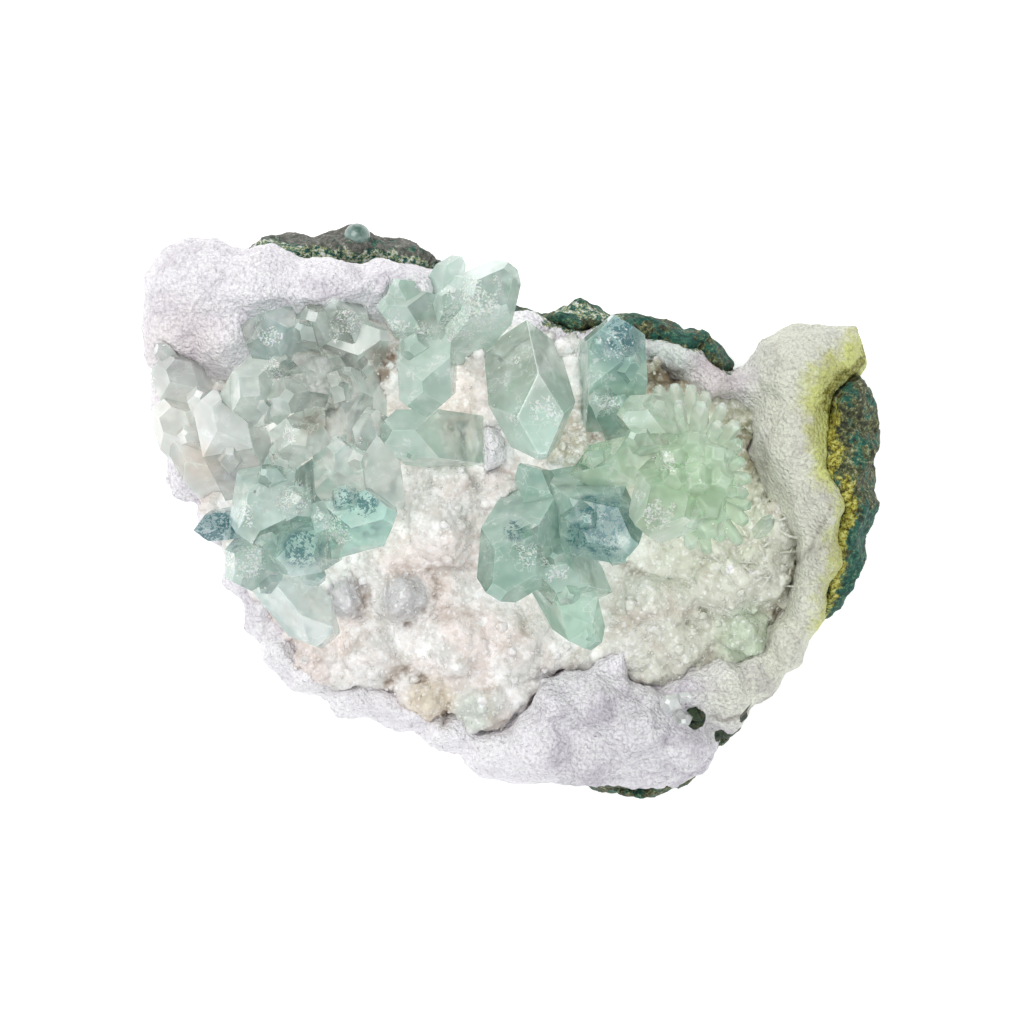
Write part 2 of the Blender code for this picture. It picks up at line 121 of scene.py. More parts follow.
softbox("upper_left_lamp", (-0.45, 0.4, 0.85), 0.7, 5.4, (1.0, 0.99, 0.97))
softbox("right_lamp", (0.45, -0.55, 0.85), 0.7, 3.2, (0.97, 0.99, 1.0))

floor_mesh = bpy.data.meshes.new("floor")
floor_shape = bmesh.new()
bmesh.ops.create_grid(floor_shape, x_segments=1, y_segments=1, size=3)
floor_shape.to_mesh(floor_mesh)
floor_shape.free()
floor = bpy.data.objects.new("floor", floor_mesh)
bpy.context.scene.collection.objects.link(floor)

# %% [markdown]
# A finish is a graph of nodes, and sums are easier to read than graphs. Value wraps the output of
# a node, so that Python's own operators add Math nodes. Finish makes the material, and its one
# method for any other node takes the node's type, its settings and what goes into its sockets.


# %% A small language for materials
class Value:
    """The output of a node in a finish. Arithmetic on it adds Math nodes."""

    def __init__(self, finish, socket):
        self.finish = finish
        self.socket = socket

    def __add__(self, other):
        return self.finish.math("ADD", self, other)

    def __radd__(self, other):
        return self.finish.math("ADD", other, self)

    def __sub__(self, other):
        return self.finish.math("SUBTRACT", self, other)

    def __rsub__(self, other):
        return self.finish.math("SUBTRACT", other, self)

    def __mul__(self, other):
        return self.finish.math("MULTIPLY", self, other)

    def __rmul__(self, other):
        return self.finish.math("MULTIPLY", other, self)


class Finish:
    """A material made of nodes, with Object coordinates in metres."""

    def __init__(self, name):
        self.material = bpy.data.materials.new(name)
        self.material.use_nodes = True
        self.tree = self.material.node_tree
        self.tree.nodes.clear()
        self.place = self.add("ShaderNodeTexCoord", output="Object")

    def add(self, kind, settings=None, inputs=None, output=0):
        """Any node: its type, its settings, and the values or links of its sockets."""
        node = self.tree.nodes.new(kind)
        for name, value in (settings or {}).items():
            if name == "stops":
                self.set_stops(node.color_ramp, value)
            else:
                setattr(node, name, value)
        for name, value in (inputs or {}).items():
            if isinstance(value, Value):
                self.tree.links.new(value.socket, node.inputs[name])
            else:
                node.inputs[name].default_value = value
        return Value(self, node.outputs[output])

    def set_stops(self, ramp, stops):
        while len(ramp.elements) < len(stops):
            ramp.elements.new(0.5)
        for element, (position, colour) in zip(ramp.elements, stops):
            element.position = position
            element.color = (*colour, 1)

    def math(self, operation, *values):
        return self.add("ShaderNodeMath", {"operation": operation}, dict(enumerate(values)))

    def grain(self, size, detail=2.0, roughness=0.5, shift=(0, 0, 0), stretch=(1, 1, 1)):
        """Cloudy noise from 0 to 1, whose features are about size millimetres wide."""
        where = self.add("ShaderNodeMapping", None,
                         {"Vector": self.place, "Location": shift, "Scale": stretch})
        return self.add("ShaderNodeTexNoise", None,
                        {"Vector": where, "Scale": 1 / (size * MM), "Detail": detail,
                         "Roughness": roughness}, "Fac")

    def pebbles(self, size, output="Distance"):
        """Round cells about size millimetres wide."""
        return self.add("ShaderNodeTexVoronoi", None,
                        {"Vector": self.place, "Scale": 1 / (size * MM)}, output)

    def shades(self, value, *stops):
        """A colour that runs through the stops, each a position and a colour, as value rises."""
        return self.add("ShaderNodeValToRGB", {"stops": stops}, {"Fac": value})

    def step(self, value, low, high):
        """0 below low, 1 above high and a smooth rise between them."""
        return self.add("ShaderNodeMapRange", {"interpolation_type": "SMOOTHSTEP"},
                        {"Value": value, "From Min": low, "From Max": high}, "Result")

    def spot(self, x, y, radius, fade=0.5):
        """1 within radius of a line that stands upright at x and y, in millimetres, and 0 beyond."""
        flat = self.add("ShaderNodeVectorMath", {"operation": "MULTIPLY"},
                        {0: self.place, 1: (1, 1, 0)}, "Vector")
        away = self.add("ShaderNodeVectorMath", {"operation": "DISTANCE"},
                        {0: flat, 1: (x * MM, y * MM, 0)}, "Value")
        return 1 - self.step(away, radius * (1 - fade) * MM, radius * (1 + fade) * MM)

    def ball(self, x, y, z, radius, fade=0.3):
        """1 within radius of a point, in millimetres, and 0 beyond."""
        away = self.add("ShaderNodeVectorMath", {"operation": "DISTANCE"},
                        {0: self.place, 1: (x * MM, y * MM, z * MM)}, "Value")
        return 1 - self.step(away, radius * (1 - fade) * MM, radius * (1 + fade) * MM)

    def along(self, axis):
        """The place along X, Y or Z, in millimetres."""
        return self.add("ShaderNodeSeparateXYZ", None, {"Vector": self.place}, axis) * (1 / MM)

    def mark(self, name):
        """A number that was written on the piece's own vertices."""
        return self.add("ShaderNodeAttribute", {"attribute_name": name}, None, "Fac")

    def part(self, colour, channel):
        """The Red, Green or Blue number of a colour."""
        return self.add("ShaderNodeSeparateColor", None, {"Color": colour}, channel)

    def tilted(self, flecks, amount):
        """The surface's direction, turned in each fleck by that fleck's own random colour."""
        around = self.add("ShaderNodeVectorMath", {"operation": "SUBTRACT"},
                          {0: flecks, 1: (0.5, 0.5, 0.5)}, "Vector")
        turn = self.add("ShaderNodeVectorMath", {"operation": "SCALE"},
                        {0: around, "Scale": amount}, "Vector")
        facing = self.add("ShaderNodeNewGeometry", output="Normal")
        turned = self.add("ShaderNodeVectorMath", {"operation": "ADD"}, {0: facing, 1: turn}, "Vector")
        return self.add("ShaderNodeVectorMath", {"operation": "NORMALIZE"}, {0: turned}, "Vector")

    def blend(self, factor, first, second, blend_type="MIX"):
        """A colour that goes from first to second as factor goes from 0 to 1."""
        inputs = {"Factor": factor, 6: colour(first), 7: colour(second)}
        return self.add("ShaderNodeMix", {"data_type": "RGBA", "blend_type": blend_type}, inputs, 2)

    def bump(self, height, depth, under=None):
        """Relief in the light only, depth millimetres from its lowest to its highest point."""
        inputs = {"Height": height, "Distance": depth * MM, "Strength": 1.0}
        if under is not None:
            inputs["Normal"] = under
        return self.add("ShaderNodeBump", None, inputs, "Normal")

    def finished(self, surface, volume=None):
        output = self.tree.nodes.new("ShaderNodeOutputMaterial")
        self.tree.links.new(surface.socket, output.inputs["Surface"])
        if volume is not None:
            self.tree.links.new(volume.socket, output.inputs["Volume"])
        return self.material


def colour(value):
    """A colour as a node socket takes it, from three numbers or from a node's output."""
    return value if isinstance(value, Value) else (*value, 1)


print("the finishes have", len([name for name in vars(Finish) if name[0] != "_"]), "tools")

# %% Floor finish
paper = Finish("white_paper")
fibres = paper.grain(1.5, detail=3)
paper_colour = paper.blend(fibres, (0.93, 0.93, 0.93), (0.96, 0.96, 0.96))
paper_surface = paper.add("ShaderNodeBsdfPrincipled", None,
                          {"Base Color": paper_colour, "Roughness": 0.9,
                           "Emission Color": (1, 1, 1, 1), "Emission Strength": 0.5})
floor_mesh.materials.append(paper.finished(paper_surface))
print("floor finish:", paper.material.name)

# %% [markdown]
# Every skin starts the same way. The solid's triangles are loose in the packed file, so a copy is
# joined at its corners first. For the rocks the copy then gets an even grid by a voxel remesh,
# which also rounds the facets, and each vertex moves along its normal by a height in millimetres.
# Growing the rocks a little closes the thin gaps that keep the solids apart.


# %% Skins
def merged(node):
    """A bmesh of a solid's own shape, with its triangles joined at their corners."""
    shape = bmesh.new()
    shape.from_mesh(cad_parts[node].data)
    bmesh.ops.remove_doubles(shape, verts=shape.verts, dist=0.001 * MM)
    return shape


def piece_of(shape, name, finish, smooth=True):
    """An object made of a bmesh, which rides on the stone."""
    mesh = bpy.data.meshes.new(name)
    shape.to_mesh(mesh)
    shape.free()
    if "custom_normal" in mesh.attributes:
        mesh.attributes.remove(mesh.attributes["custom_normal"])
    mesh.polygons.foreach_set("use_smooth", [smooth] * len(mesh.polygons))
    mesh.materials.clear()
    mesh.materials.append(finish)
    piece = bpy.data.objects.new(name, mesh)
    bpy.context.scene.collection.objects.link(piece)
    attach(piece, "root")
    return piece


def even_grid(piece, size):
    """Rebuilds a piece's mesh on a grid of cubes, size millimetres wide."""
    remesh = piece.modifiers.new("even grid", "REMESH")
    remesh.mode = "VOXEL"
    remesh.voxel_size = size * MM
    remesh.use_smooth_shade = True
    graph = bpy.context.evaluated_depsgraph_get()
    rebuilt = bpy.data.meshes.new_from_object(piece.evaluated_get(graph))
    piece.modifiers.remove(remesh)
    material = piece.data.materials[0]
    piece.data = rebuilt
    rebuilt.materials.clear()
    rebuilt.materials.append(material)


def relief(piece, heights):
    """Moves each vertex along its normal by its own height in millimetres."""
    moves = [vertex.normal * height * MM for vertex, height in zip(piece.data.vertices, heights)]
    for vertex, move in zip(piece.data.vertices, moves):
        vertex.co += move


def keep_inside(piece):
    """Holds every vertex within the box of the solids."""
    for vertex in piece.data.vertices:
        for axis in range(3):
            vertex.co[axis] = min(max(vertex.co[axis], LOW[axis]), HIGH[axis])


def write_marks(piece, name, values):
    """Writes one number on each vertex, for a finish to read."""
    layer = piece.data.attributes.new(name, "FLOAT", "POINT")
    layer.data.foreach_set("value", values)


def reach_of(node):
    """A tree that answers how far a place is from a solid."""
    shape = merged(node)
    tree = bvhtree.BVHTree.FromBMesh(shape)
    shape.free()
    return tree


def nearness(piece, tree, reach):
    """For each vertex, 1 on the other solid and 0 at reach millimetres from it."""
    values = []
    for vertex in piece.data.vertices:
        distance = tree.find_nearest(vertex.co, reach * MM)[3]
        values.append(0.0 if distance is None else 1 - distance / (reach * MM))
    return values


def closeness(piece, path, reach):
    """For each vertex, 1 on a line that is drawn from above and 0 at reach millimetres from it."""
    spots = numpy.empty(len(piece.data.vertices) * 3)
    piece.data.vertices.foreach_get("co", spots)
    spots = spots.reshape(-1, 3)[:, :2] / MM
    nearest = numpy.full(len(spots), numpy.inf)
    for start, end in zip(path, path[1:]):
        start, run = numpy.array(start), numpy.array(end) - numpy.array(start)
        share = numpy.clip((spots - start) @ run / (run @ run), 0, 1)
        away = numpy.linalg.norm(spots - start - share[:, None] * run, axis=1)
        nearest = numpy.minimum(nearest, away)
    return numpy.clip(1 - nearest / reach, 0, 1)


def cells(place, size):
    """0 at the middle of a round cell about size millimetres wide, and about 1 at its border."""
    return noise.voronoi(place / size)[0][0]


def report(piece):
    piece.data.calc_loop_triangles()
    print(piece.name, "has", len(piece.data.loop_triangles), "triangles")


print("box of the solids:", [[round(side / MM, 2) for side in corner] for corner in CAD_BOX])

# %% [markdown]
# The real stone is cracked or folded along the ledge at the right, at the foot of the white lobes, round
# two grey balls in the druse and in a few small pits, and it is dark there, partly from dirt and partly
# from shade. Such a fold could be painted, but then it would lie flat. Here each one is a line seen from
# above, with a width in millimetres and a strength. The skins sink along it and turn brown, which is
# partly dirt and partly painted shade.

# %% Folds
FOLDS = [
    ([(51.5, 1.6), (48.8, -4.6), (45.8, -9.7), (43.7, -15.5), (42.5, -19.7), (41.3, -23)], 0.9, 0.5),
    ([(40.3, 8.3), (42, 5.5), (44.2, 2.8), (45.7, 2.4)], 2.6, 0.3),
    ([(7.8, -26), (4.7, -28.4), (2.8, -30.2), (2.2, -32)], 0.8, 0.4),
    ([(2.2, -32), (4, -34.1), (5.1, -36.4)], 1.4, 0.25),
    ([(-20.3, -28), (-18.9, -26.7), (-17.9, -25.6), (-16.4, -26.4), (-14.6, -27.7)], 1.5, 0.7),
    ([(-10.2, -31.4), (-10.9, -32.8), (-11.3, -34.6)], 1.1, 0.6),
    ([(-10.9, -32.8), (-9.6, -33.3)], 0.8, 0.6),
    ([(-25.5, -11), (-24.4, -12.8), (-24.2, -14.9), (-25.1, -16.8)], 2.6, 0.42),
    ([(-13.8, -9.5), (-12.7, -11.3), (-12.5, -13.1), (-13.8, -15.4), (-15.6, -16.4), (-17.9, -18.6)],
     2.0, 0.42),
    ([(32.6, -33.4), (35.1, -34), (37, -33.1), (39.4, -32.5)], 0.8, 0.7),
    ([(22.6, 22), (24.4, 22.7), (26.4, 22.2)], 3.2, 0.9),
    ([(-21.5, 22.5), (-20.3, 25.2)], 2.6, 0.8),
    ([(-33.5, 15.3), (-31, 14)], 2.0, 0.8),
    ([(9, -6.1), (10, -6.4)], 1.5, 0.9),
    ([(18.8, -8.5), (20.5, -10)], 1.8, 0.5),
    ([(-37, -22), (-34, -24), (-31, -26)], 2.2, 0.3),
    ([(36.5, 14), (40.5, 9.5), (41.5, 4)], 3.2, 0.4),
]


def folded(piece, raggedness):
    """For each vertex, how deep in a fold it is, from 0 to 1, with a ragged edge."""
    deepest = numpy.zeros(len(piece.data.vertices))
    for path, width, strength in FOLDS:
        deepest = numpy.maximum(deepest, strength * closeness(piece, path, width))
    rags = [noise.fractal(vertex.co / (1.3 * MM), 1.0, 2.2, 3) for vertex in piece.data.vertices]
    return numpy.clip(deepest * (1 + raggedness * numpy.array(rags)), 0, 1)


# Where the crust meets the stained basalt at the right, seen from above in millimetres.
STAINED_BORDER = [
    (58, 26.5), (56.2, 23.9), (53.2, 22), (51.3, 20.5), (50.5, 17.9), (52, 15.6), (51.3, 12.5),
    (52.5, 10.2), (51.7, 6.5), (54, 4.9), (54.7, 0.5), (53.6, -4.1), (53.2, -8.7), (52.5, -13.1),
    (51, -18.5)]
STAIN_REACH = 8.0
# Where chips of white, teal and ochre lie along the seam of crust and basalt.
CHIP_SEAMS = [
    [(-43, 43.9), (-40, 44.7), (-36.5, 43.6), (-29.9, 42.8), (-24.9, 42), (-21.9, 42.8),
     (-16.9, 42), (-12, 40)],
    [(5.5, 34.8), (10.5, 33.6), (17.6, 31.8)]]
CHIP_REACH = 2.6

print(len(FOLDS), "folds,", sum(len(path) for path, width, strength in FOLDS), "corners")

# %% [markdown]
# Basalt shows as a dark broken rim behind the crust, and as the whole back. At the upper left it is
# brown grey and pitted, with chips of white and teal along its seam with the crust. At the right it
# is soaked with teal celadonite, with brown and grey rock in its upper half and an ochre seam.
# How close each vertex is to the two lines above is measured on the mesh and written there, so
# that one finish can bring the chips and the ochre seam to their places.

# %% Basalt colours
rock = Finish("celadonite_basalt")
rock_x = rock.along("X")
rock_y = rock.along("Y")
rock_cloud = rock.grain(2.4, detail=5, roughness=0.7)
rock_patch = rock.grain(2.3, detail=4, roughness=0.65, shift=(0.2, 0.5, 0))
rock_speck = rock.grain(0.8, detail=4, roughness=0.75, shift=(0.3, 0.1, 0))
rock_fine = rock.grain(0.3, detail=3, roughness=0.65)
rock_brown = rock.shades(
    rock_speck,
    (0.3, (0.035, 0.033, 0.026)), (0.45, (0.1, 0.1, 0.085)),
    (0.58, (0.2, 0.2, 0.17)), (0.72, (0.42, 0.42, 0.39)))
rock_olive = rock.shades(
    0.6 * rock_speck + 0.4 * rock_patch,
    (0.4, (0.006, 0.01, 0.003)), (0.46, (0.04, 0.05, 0.018)),
    (0.53, (0.15, 0.16, 0.055)), (0.6, (0.56, 0.56, 0.36)))
rock_teal = rock.shades(
    rock_speck,
    (0.36, (0.002, 0.014, 0.01)), (0.46, (0.006, 0.07, 0.05)),
    (0.56, (0.014, 0.13, 0.085)), (0.68, (0.2, 0.28, 0.13)))
rock_ochre = rock.shades(
    rock_speck,
    (0.38, (0.02, 0.024, 0.004)), (0.46, (0.19, 0.16, 0.01)),
    (0.53, (0.44, 0.41, 0.045)), (0.62, (0.66, 0.68, 0.24)))
rock_chips = rock.shades(
    rock_speck,
    (0.4, (0.004, 0.05, 0.045)), (0.47, (0.03, 0.17, 0.15)),
    (0.53, (0.42, 0.4, 0.12)), (0.6, (0.72, 0.8, 0.85)))
print("basalt colours:", rock.material.name)

# %% Basalt finish
at_right = rock.step(rock_x, 40, 47)
greened = rock.step(rock_x + 10 * rock_cloud, -4, 8)
rock_base = rock.blend(greened, rock_brown, rock_olive)
teal_share = rock_patch + at_right * (0.15 * rock.step(rock_y, 3, -3) - 0.015)
teal_share = teal_share + 0.04 * rock.step(rock_y, 20, 24)
teal_share = teal_share - 0.1 * (1 - greened) - 0.01
rock_colour = rock.blend(rock.step(teal_share, 0.48, 0.56), rock_base, rock_teal)
rock_seam = rock.step(rock.mark("stain") + 0.8 * (rock_cloud - 0.5), 0.83, 0.93)
rock_colour = rock.blend(rock_seam, rock_colour, rock_ochre)
chip_share = rock.step(rock.mark("chips") + 1.6 * (rock_cloud - 0.5), 0.56, 0.66)
chip_share = chip_share * rock.step(rock.along("Z") + 8 * (rock_cloud - 0.5), 5, 8)
rock_colour = rock.blend(chip_share, rock_colour, rock_chips)
rock_eye = rock.blend(rock_speck, (0.005, 0.04, 0.03), (0.07, 0.1, 0.03))
rock_colour = rock.blend(rock.spot(29.8, -33.2, 2.6, 0.3), rock_colour, rock_eye)
rock_normal = rock.bump(rock_speck, 0.4, rock.bump(rock_fine, 0.16))
rock_surface = rock.add("ShaderNodeBsdfPrincipled", None,
                        {"Base Color": rock_colour, "Roughness": 0.55 + 0.3 * rock_fine,
                         "Normal": rock_normal})
rock.finished(rock_surface)
print("basalt finish:", rock.material.name)

# %% Basalt skin
BASALT_GRID = 0.6


def basalt_height(place):
    """Broken rock with small pits."""
    broken = noise.fractal(place / 3.4, 0.9, 2.1, 4)
    pits = max(0.0, 0.34 - cells(place + Vector((7, 3, 1)), 1.9)) * 1.5
    return 0.15 + 0.6 * broken - pits


basalt_skin = piece_of(merged("basalt_matrix"), "basalt_skin", rock.material)
even_grid(basalt_skin, BASALT_GRID)
relief(basalt_skin, [basalt_height(vertex.co / MM) for vertex in basalt_skin.data.vertices])
chip_marks = [closeness(basalt_skin, seam, CHIP_REACH) for seam in CHIP_SEAMS]
write_marks(basalt_skin, "chips", numpy.maximum(*chip_marks))
write_marks(basalt_skin, "stain", closeness(basalt_skin, STAINED_BORDER, STAIN_REACH))
keep_inside(basalt_skin)
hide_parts("basalt_matrix")
report(basalt_skin)

# %% Green bump
BUMP_PLACE = Vector((-25.7, 45.9, 12.2))
BUMP_RADIUS = 2.2

bump_finish = Finish("green_bump")
bump_mottle = bump_finish.grain(1.6, detail=4, roughness=0.6)
bump_colour = bump_finish.blend(bump_finish.step(bump_mottle, 0.3, 0.7),
                                (0.05, 0.12, 0.09), (0.22, 0.31, 0.28))
bump_finish.finished(bump_finish.add("ShaderNodeBsdfPrincipled", None,
                                     {"Base Color": bump_colour, "Roughness": 0.2, "Coat Weight": 0.5}))
bump_shape = bmesh.new()
bmesh.ops.create_icosphere(bump_shape, subdivisions=4, radius=BUMP_RADIUS * MM,
                           matrix=Matrix.Translation(BUMP_PLACE * MM))
green_bump = piece_of(bump_shape, "green_bump", bump_finish.material)
keep_inside(green_bump)
report(green_bump)

# %% [markdown]
# The chalcedony crust is white with a touch of lavender and is covered with grains like coarse sugar,
# half a millimetre across, over soft swells. The swells and the larger grains are real relief. The
# finest grains are bump. The hollows of the finest grains, the gaps between the beads of the bump and
# the low parts of the swells are tinted mauve grey, which is painted shade. On the right the crust is
# flatter and turns cream, then yellow green towards the basalt that stained it.

# %% Crust colours
crust = Finish("white_chalcedony")
crust_x = crust.along("X")
crust_y = crust.along("Y")
crust_contact = crust.mark("contact")
crust_cloud = crust.grain(9, detail=3)
crust_blotch = crust.grain(2.2, detail=5, roughness=0.7, shift=(0.4, 0, 0))
crust_sugar = crust.grain(0.5, detail=3, roughness=0.6)
crust_grit = crust.grain(1.2, detail=3, roughness=0.6, shift=(0.9, 0, 0))
crust_beads = crust.pebbles(0.68)
crust_white = crust.blend(crust_cloud, (0.97, 0.945, 0.985), (1, 0.99, 1))
crust_low = crust.blend(crust.step(crust_y, -27, -32) * crust.step(crust_x, 2, 9) * 0.8,
                        crust_white, (0.84, 0.835, 0.85))
crust_pink = crust.blend(crust.spot(-53, 26, 7, 0.7) * 0.5, crust_low, (0.9, 0.8, 0.78))
crust_pink = crust.blend(crust.spot(33, 22.5, 5, 0.5) * 0.8, crust_pink, (0.8, 0.72, 0.72))
crust_pale = crust.blend(crust.spot(25, 27.5, 5, 0.5) * 0.8, crust_pink, (0.7, 0.78, 0.71))
crust_pale = crust.blend(crust.spot(37, -30, 6, 0.7) * 0.6, crust_pale, (0.82, 0.86, 0.66))
crust_cream = crust.blend(crust.step(crust_x + 6 * crust_blotch, 38, 46), crust_pale, (0.79, 0.81, 0.68))
print("crust colours:", crust.material.name)

# %% Stains on the crust
crust_stain = crust.mark("stain") + 0.9 * (crust_blotch - 0.5) - 0.22 * crust.step(crust_y, 10, 2)
crust_speck = crust.grain(0.8, detail=4, roughness=0.75)
crust_green = crust.blend(crust.step(crust_stain, 0.25, 0.75), crust_cream, (0.66, 0.7, 0.24))
crust_ochre = crust.shades(
    crust_speck,
    (0.34, (0.04, 0.055, 0.01)), (0.46, (0.22, 0.22, 0.02)),
    (0.56, (0.44, 0.44, 0.08)), (0.68, (0.6, 0.62, 0.28)))
crust_stained = crust.blend(crust.step(crust_stain, 0.86, 0.96), crust_green, crust_ochre)
crust_moss = crust.shades(
    crust_speck,
    (0.35, (0.006, 0.022, 0.014)), (0.52, (0.03, 0.07, 0.035)),
    (0.64, (0.15, 0.13, 0.04)))
crust_chips = crust.shades(
    crust_speck,
    (0.32, (0.01, 0.08, 0.07)), (0.46, (0.08, 0.2, 0.17)),
    (0.56, (0.5, 0.48, 0.2)), (0.66, (0.84, 0.88, 0.93)))
chip_side = crust.step(crust_y, 19, 22) * crust.step(crust_x, -44, -40) * crust.step(crust_x, 44, 41)
crust_seam = crust.step(crust_contact + 2.2 * (crust_blotch - 0.5), 0.78, 0.86)
crust_chipped = crust.blend(crust_seam * chip_side, crust_stained, crust_chips)
edge_spots = crust.ball(38.6, -32.9, 16.5, 1.9) + crust.ball(36, -37, 13, 2.5)
edge_spots = edge_spots + crust.ball(18.5, -47, 9, 3.6) + crust.ball(25, -47, 9.5, 2)
eye_ring = crust.spot(30.1, -33.7, 1.8, 0.3)
dark_spots = crust.step(eye_ring + edge_spots + 0.9 * (crust_blotch - 0.5), 0.5, 0.7)
crust_colour = crust.blend(dark_spots, crust_chipped, crust_moss)
print("stains in place")

# %% Crust finish
# How strong the painted shade below is, 1 being its plain strength: weaker on the bottom left strip and
# on the bare patch at -3.3, 10.5, which lie in real shade and so come out lighter, a painted light;
# stronger on the lobes at the bottom.
painted_shade_weight = 1 - 0.6 * crust.step(crust_y, -16, -22) * crust.step(crust_x, 6, -2)
painted_shade_weight = painted_shade_weight * (1 - 0.8 * crust.spot(-3.3, 10.5, 4, 0.3))
painted_shade_weight = painted_shade_weight + 0.3 * crust.step(crust_y, -24, -30) * crust.step(crust_x, -2, 6)
# Painted shade: the hollows of the finest grains, the gaps between the beads and the low parts of the
# swells are darkened towards mauve grey.
crust_colour = crust.blend(crust.step(crust_sugar, 0.52, 0.42) * 0.26 * painted_shade_weight, crust_colour,
                           (0.7, 0.66, 0.72), "MULTIPLY")
painted_gap_shade = crust.step(crust_beads + 0.8 * (0.5 - crust_grit), 0.42, 0.75)
crust_colour = crust.blend(painted_gap_shade * 0.34 * painted_shade_weight, crust_colour, (0.66, 0.62, 0.68), "MULTIPLY")
crust_colour = crust.blend(crust.mark("dip") * 0.5 * painted_shade_weight, crust_colour,
                           (0.66, 0.61, 0.68), "MULTIPLY")
# The folds turn dark brown grey, partly dirt and partly painted shade.
crust_dirt_and_shade = crust.step(crust.mark("fold") + 0.15 * (crust_sugar - 0.5), 0.1, 0.8)
crust_colour = crust.blend(crust_dirt_and_shade * 0.8, crust_colour, (0.2, 0.16, 0.14))
crust_normal = crust.bump(crust_sugar, 0.4, crust.bump(1 - crust_beads, 0.42))
crust_surface = crust.add("ShaderNodeBsdfPrincipled", None,
                          {"Base Color": crust_colour, "Roughness": 0.6, "IOR": 1.5,
                           "Normal": crust_normal})
crust.finished(crust_surface)
print("crust finish:", crust.material.name)

# %% Crust skin
CRUST_GRID = 0.56
CRUST_GROWTH = 0.18
CONTACT_REACH = 5.0
CRUST_RAGS = 0.4


def crust_swell(place):
    """How far the soft swells of the crust rise here, about -1 to 1."""
    return noise.fractal(place / 5.5, 1.0, 2.2, 3)


def crust_height(place, fold):
    """Granules on soft swells. Both are weaker at the right, and the lobes at the bottom are lumpy."""
    granules = 0.5 - cells(place, 1.4) + 0.5 * (0.5 - cells(place + Vector((2, 7, 1)), 2.8))
    lumps = 0.5 - cells(place + Vector((4, 4, 4)), 4.5)
    calm = 1 - 0.45 * min(1.0, max(0.0, (place.x - 36) / 6))
    lobes = min(1.0, max(0.0, (place.x - 3) / 6)) * min(1.0, max(0.0, (-20 - place.y) / 6))
    swells = (0.45 * crust_swell(place) + 0.5 * granules) * calm + 1.1 * lumps * lobes
    return CRUST_GROWTH + swells - 0.6 * fold


chalcedony_skin = piece_of(merged("chalcedony_crust"), "chalcedony_skin", crust.material)
even_grid(chalcedony_skin, CRUST_GRID)
basalt_tree = reach_of("basalt_matrix")
write_marks(chalcedony_skin, "contact", nearness(chalcedony_skin, basalt_tree, CONTACT_REACH))
write_marks(chalcedony_skin, "stain", closeness(chalcedony_skin, STAINED_BORDER, STAIN_REACH))
crust_dips = [-1.4 * crust_swell(vertex.co / MM) for vertex in chalcedony_skin.data.vertices]
write_marks(chalcedony_skin, "dip", numpy.clip(crust_dips, 0, 1))
crust_folds = folded(chalcedony_skin, CRUST_RAGS)
write_marks(chalcedony_skin, "fold", crust_folds)
relief(chalcedony_skin, [crust_height(vertex.co / MM, fold)
                         for vertex, fold in zip(chalcedony_skin.data.vertices, crust_folds)])
keep_inside(chalcedony_skin)
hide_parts("chalcedony_crust")
report(chalcedony_skin)

# %% [markdown]
# The druse that lines the hollow is a bed of tiny quartz crystals grown over rounded mounds. It is
# translucent and off white, pink or beige at the left and greenish at the right, with two grey balls and
# a beige lump. It is brown in its creases and folds, partly dirt and partly painted shade. The bed is a
# relief of mounds and lumps that lets light in a little way, which makes it look icy. In a small share
# of its grains the surface is turned at random, so that they glint, and their colour is whitened, which
# is a painted glint.

# %% Druse finish
# Where the bed has another colour: x, y and radius in millimetres, softness of the rim, strength and
# colour. The first list is dirt, which lies on the rough grains only. The second is the colour of the
# grains themselves, and its last five spots are white points where single crystals shine, painted
# glints.
ROUGH_ZONES = [
    (38, 11, 8, 0.6, 1.0, (0.42, 0.42, 0.29)), (26, 22, 6, 0.5, 0.9, (0.36, 0.31, 0.2)),
    (9.6, 12, 5, 0.5, 0.9, (0.46, 0.44, 0.32)), (14, 15.4, 4, 0.6, 0.8, (0.6, 0.48, 0.44))]
EVEN_ZONES = [
    (-3.3, 10.5, 3.8, 0.25, 1.0, (1, 1, 1)), (-27.2, -14, 3.4, 0.2, 1.0, (0.72, 0.71, 0.73)),
    (-17.6, -13.6, 3.8, 0.2, 1.0, (0.68, 0.67, 0.68)), (-13.5, -31.3, 4, 0.35, 0.9, (0.76, 0.67, 0.54)),
    (39, -20.5, 5, 0.5, 0.85, (0.58, 0.69, 0.53)), (-6, -33, 3.5, 0.5, 0.8, (0.66, 0.72, 0.65)),
    (-4.9, -31, 0.8, 0.15, 1.0, (1, 1, 1)), (-4.9, -17.8, 0.8, 0.15, 1.0, (1, 1, 1)),
    (-34.2, -24.2, 0.7, 0.15, 1.0, (1, 1, 1)), (35.6, -9.2, 0.7, 0.15, 1.0, (1, 1, 1)),
    (-29.4, 12.6, 0.4, 0.15, 1.0, (1, 1, 1))]

druse = Finish("quartz_druse")
druse_x = druse.along("X")
druse_cloud = druse.grain(5, detail=3, roughness=0.6)
druse_patch = druse.grain(12, detail=2, shift=(0.1, 0.05, 0.02))
druse_sugar = druse.grain(0.6, detail=2, roughness=0.6)
druse_pale = druse.blend(druse.step(druse_cloud, 0.42, 0.56), (1, 0.985, 0.975), (0.77, 0.765, 0.735))
druse_pink = druse.blend(druse.step(druse_patch, 0.42, 0.62) * 0.75 * (1 - druse.step(druse_x, -8, 12)),
                         druse_pale, (0.94, 0.83, 0.8))
druse_green = druse.blend(druse.step(druse_x + 12 * druse_cloud, 12, 36) * 0.85,
                          druse_pink, (0.69, 0.71, 0.6))
druse_rough = druse.step(druse.grain(2, detail=3, roughness=0.7, shift=(0.5, 0.5, 0)), 0.36, 0.58)
druse_zoned = druse_green
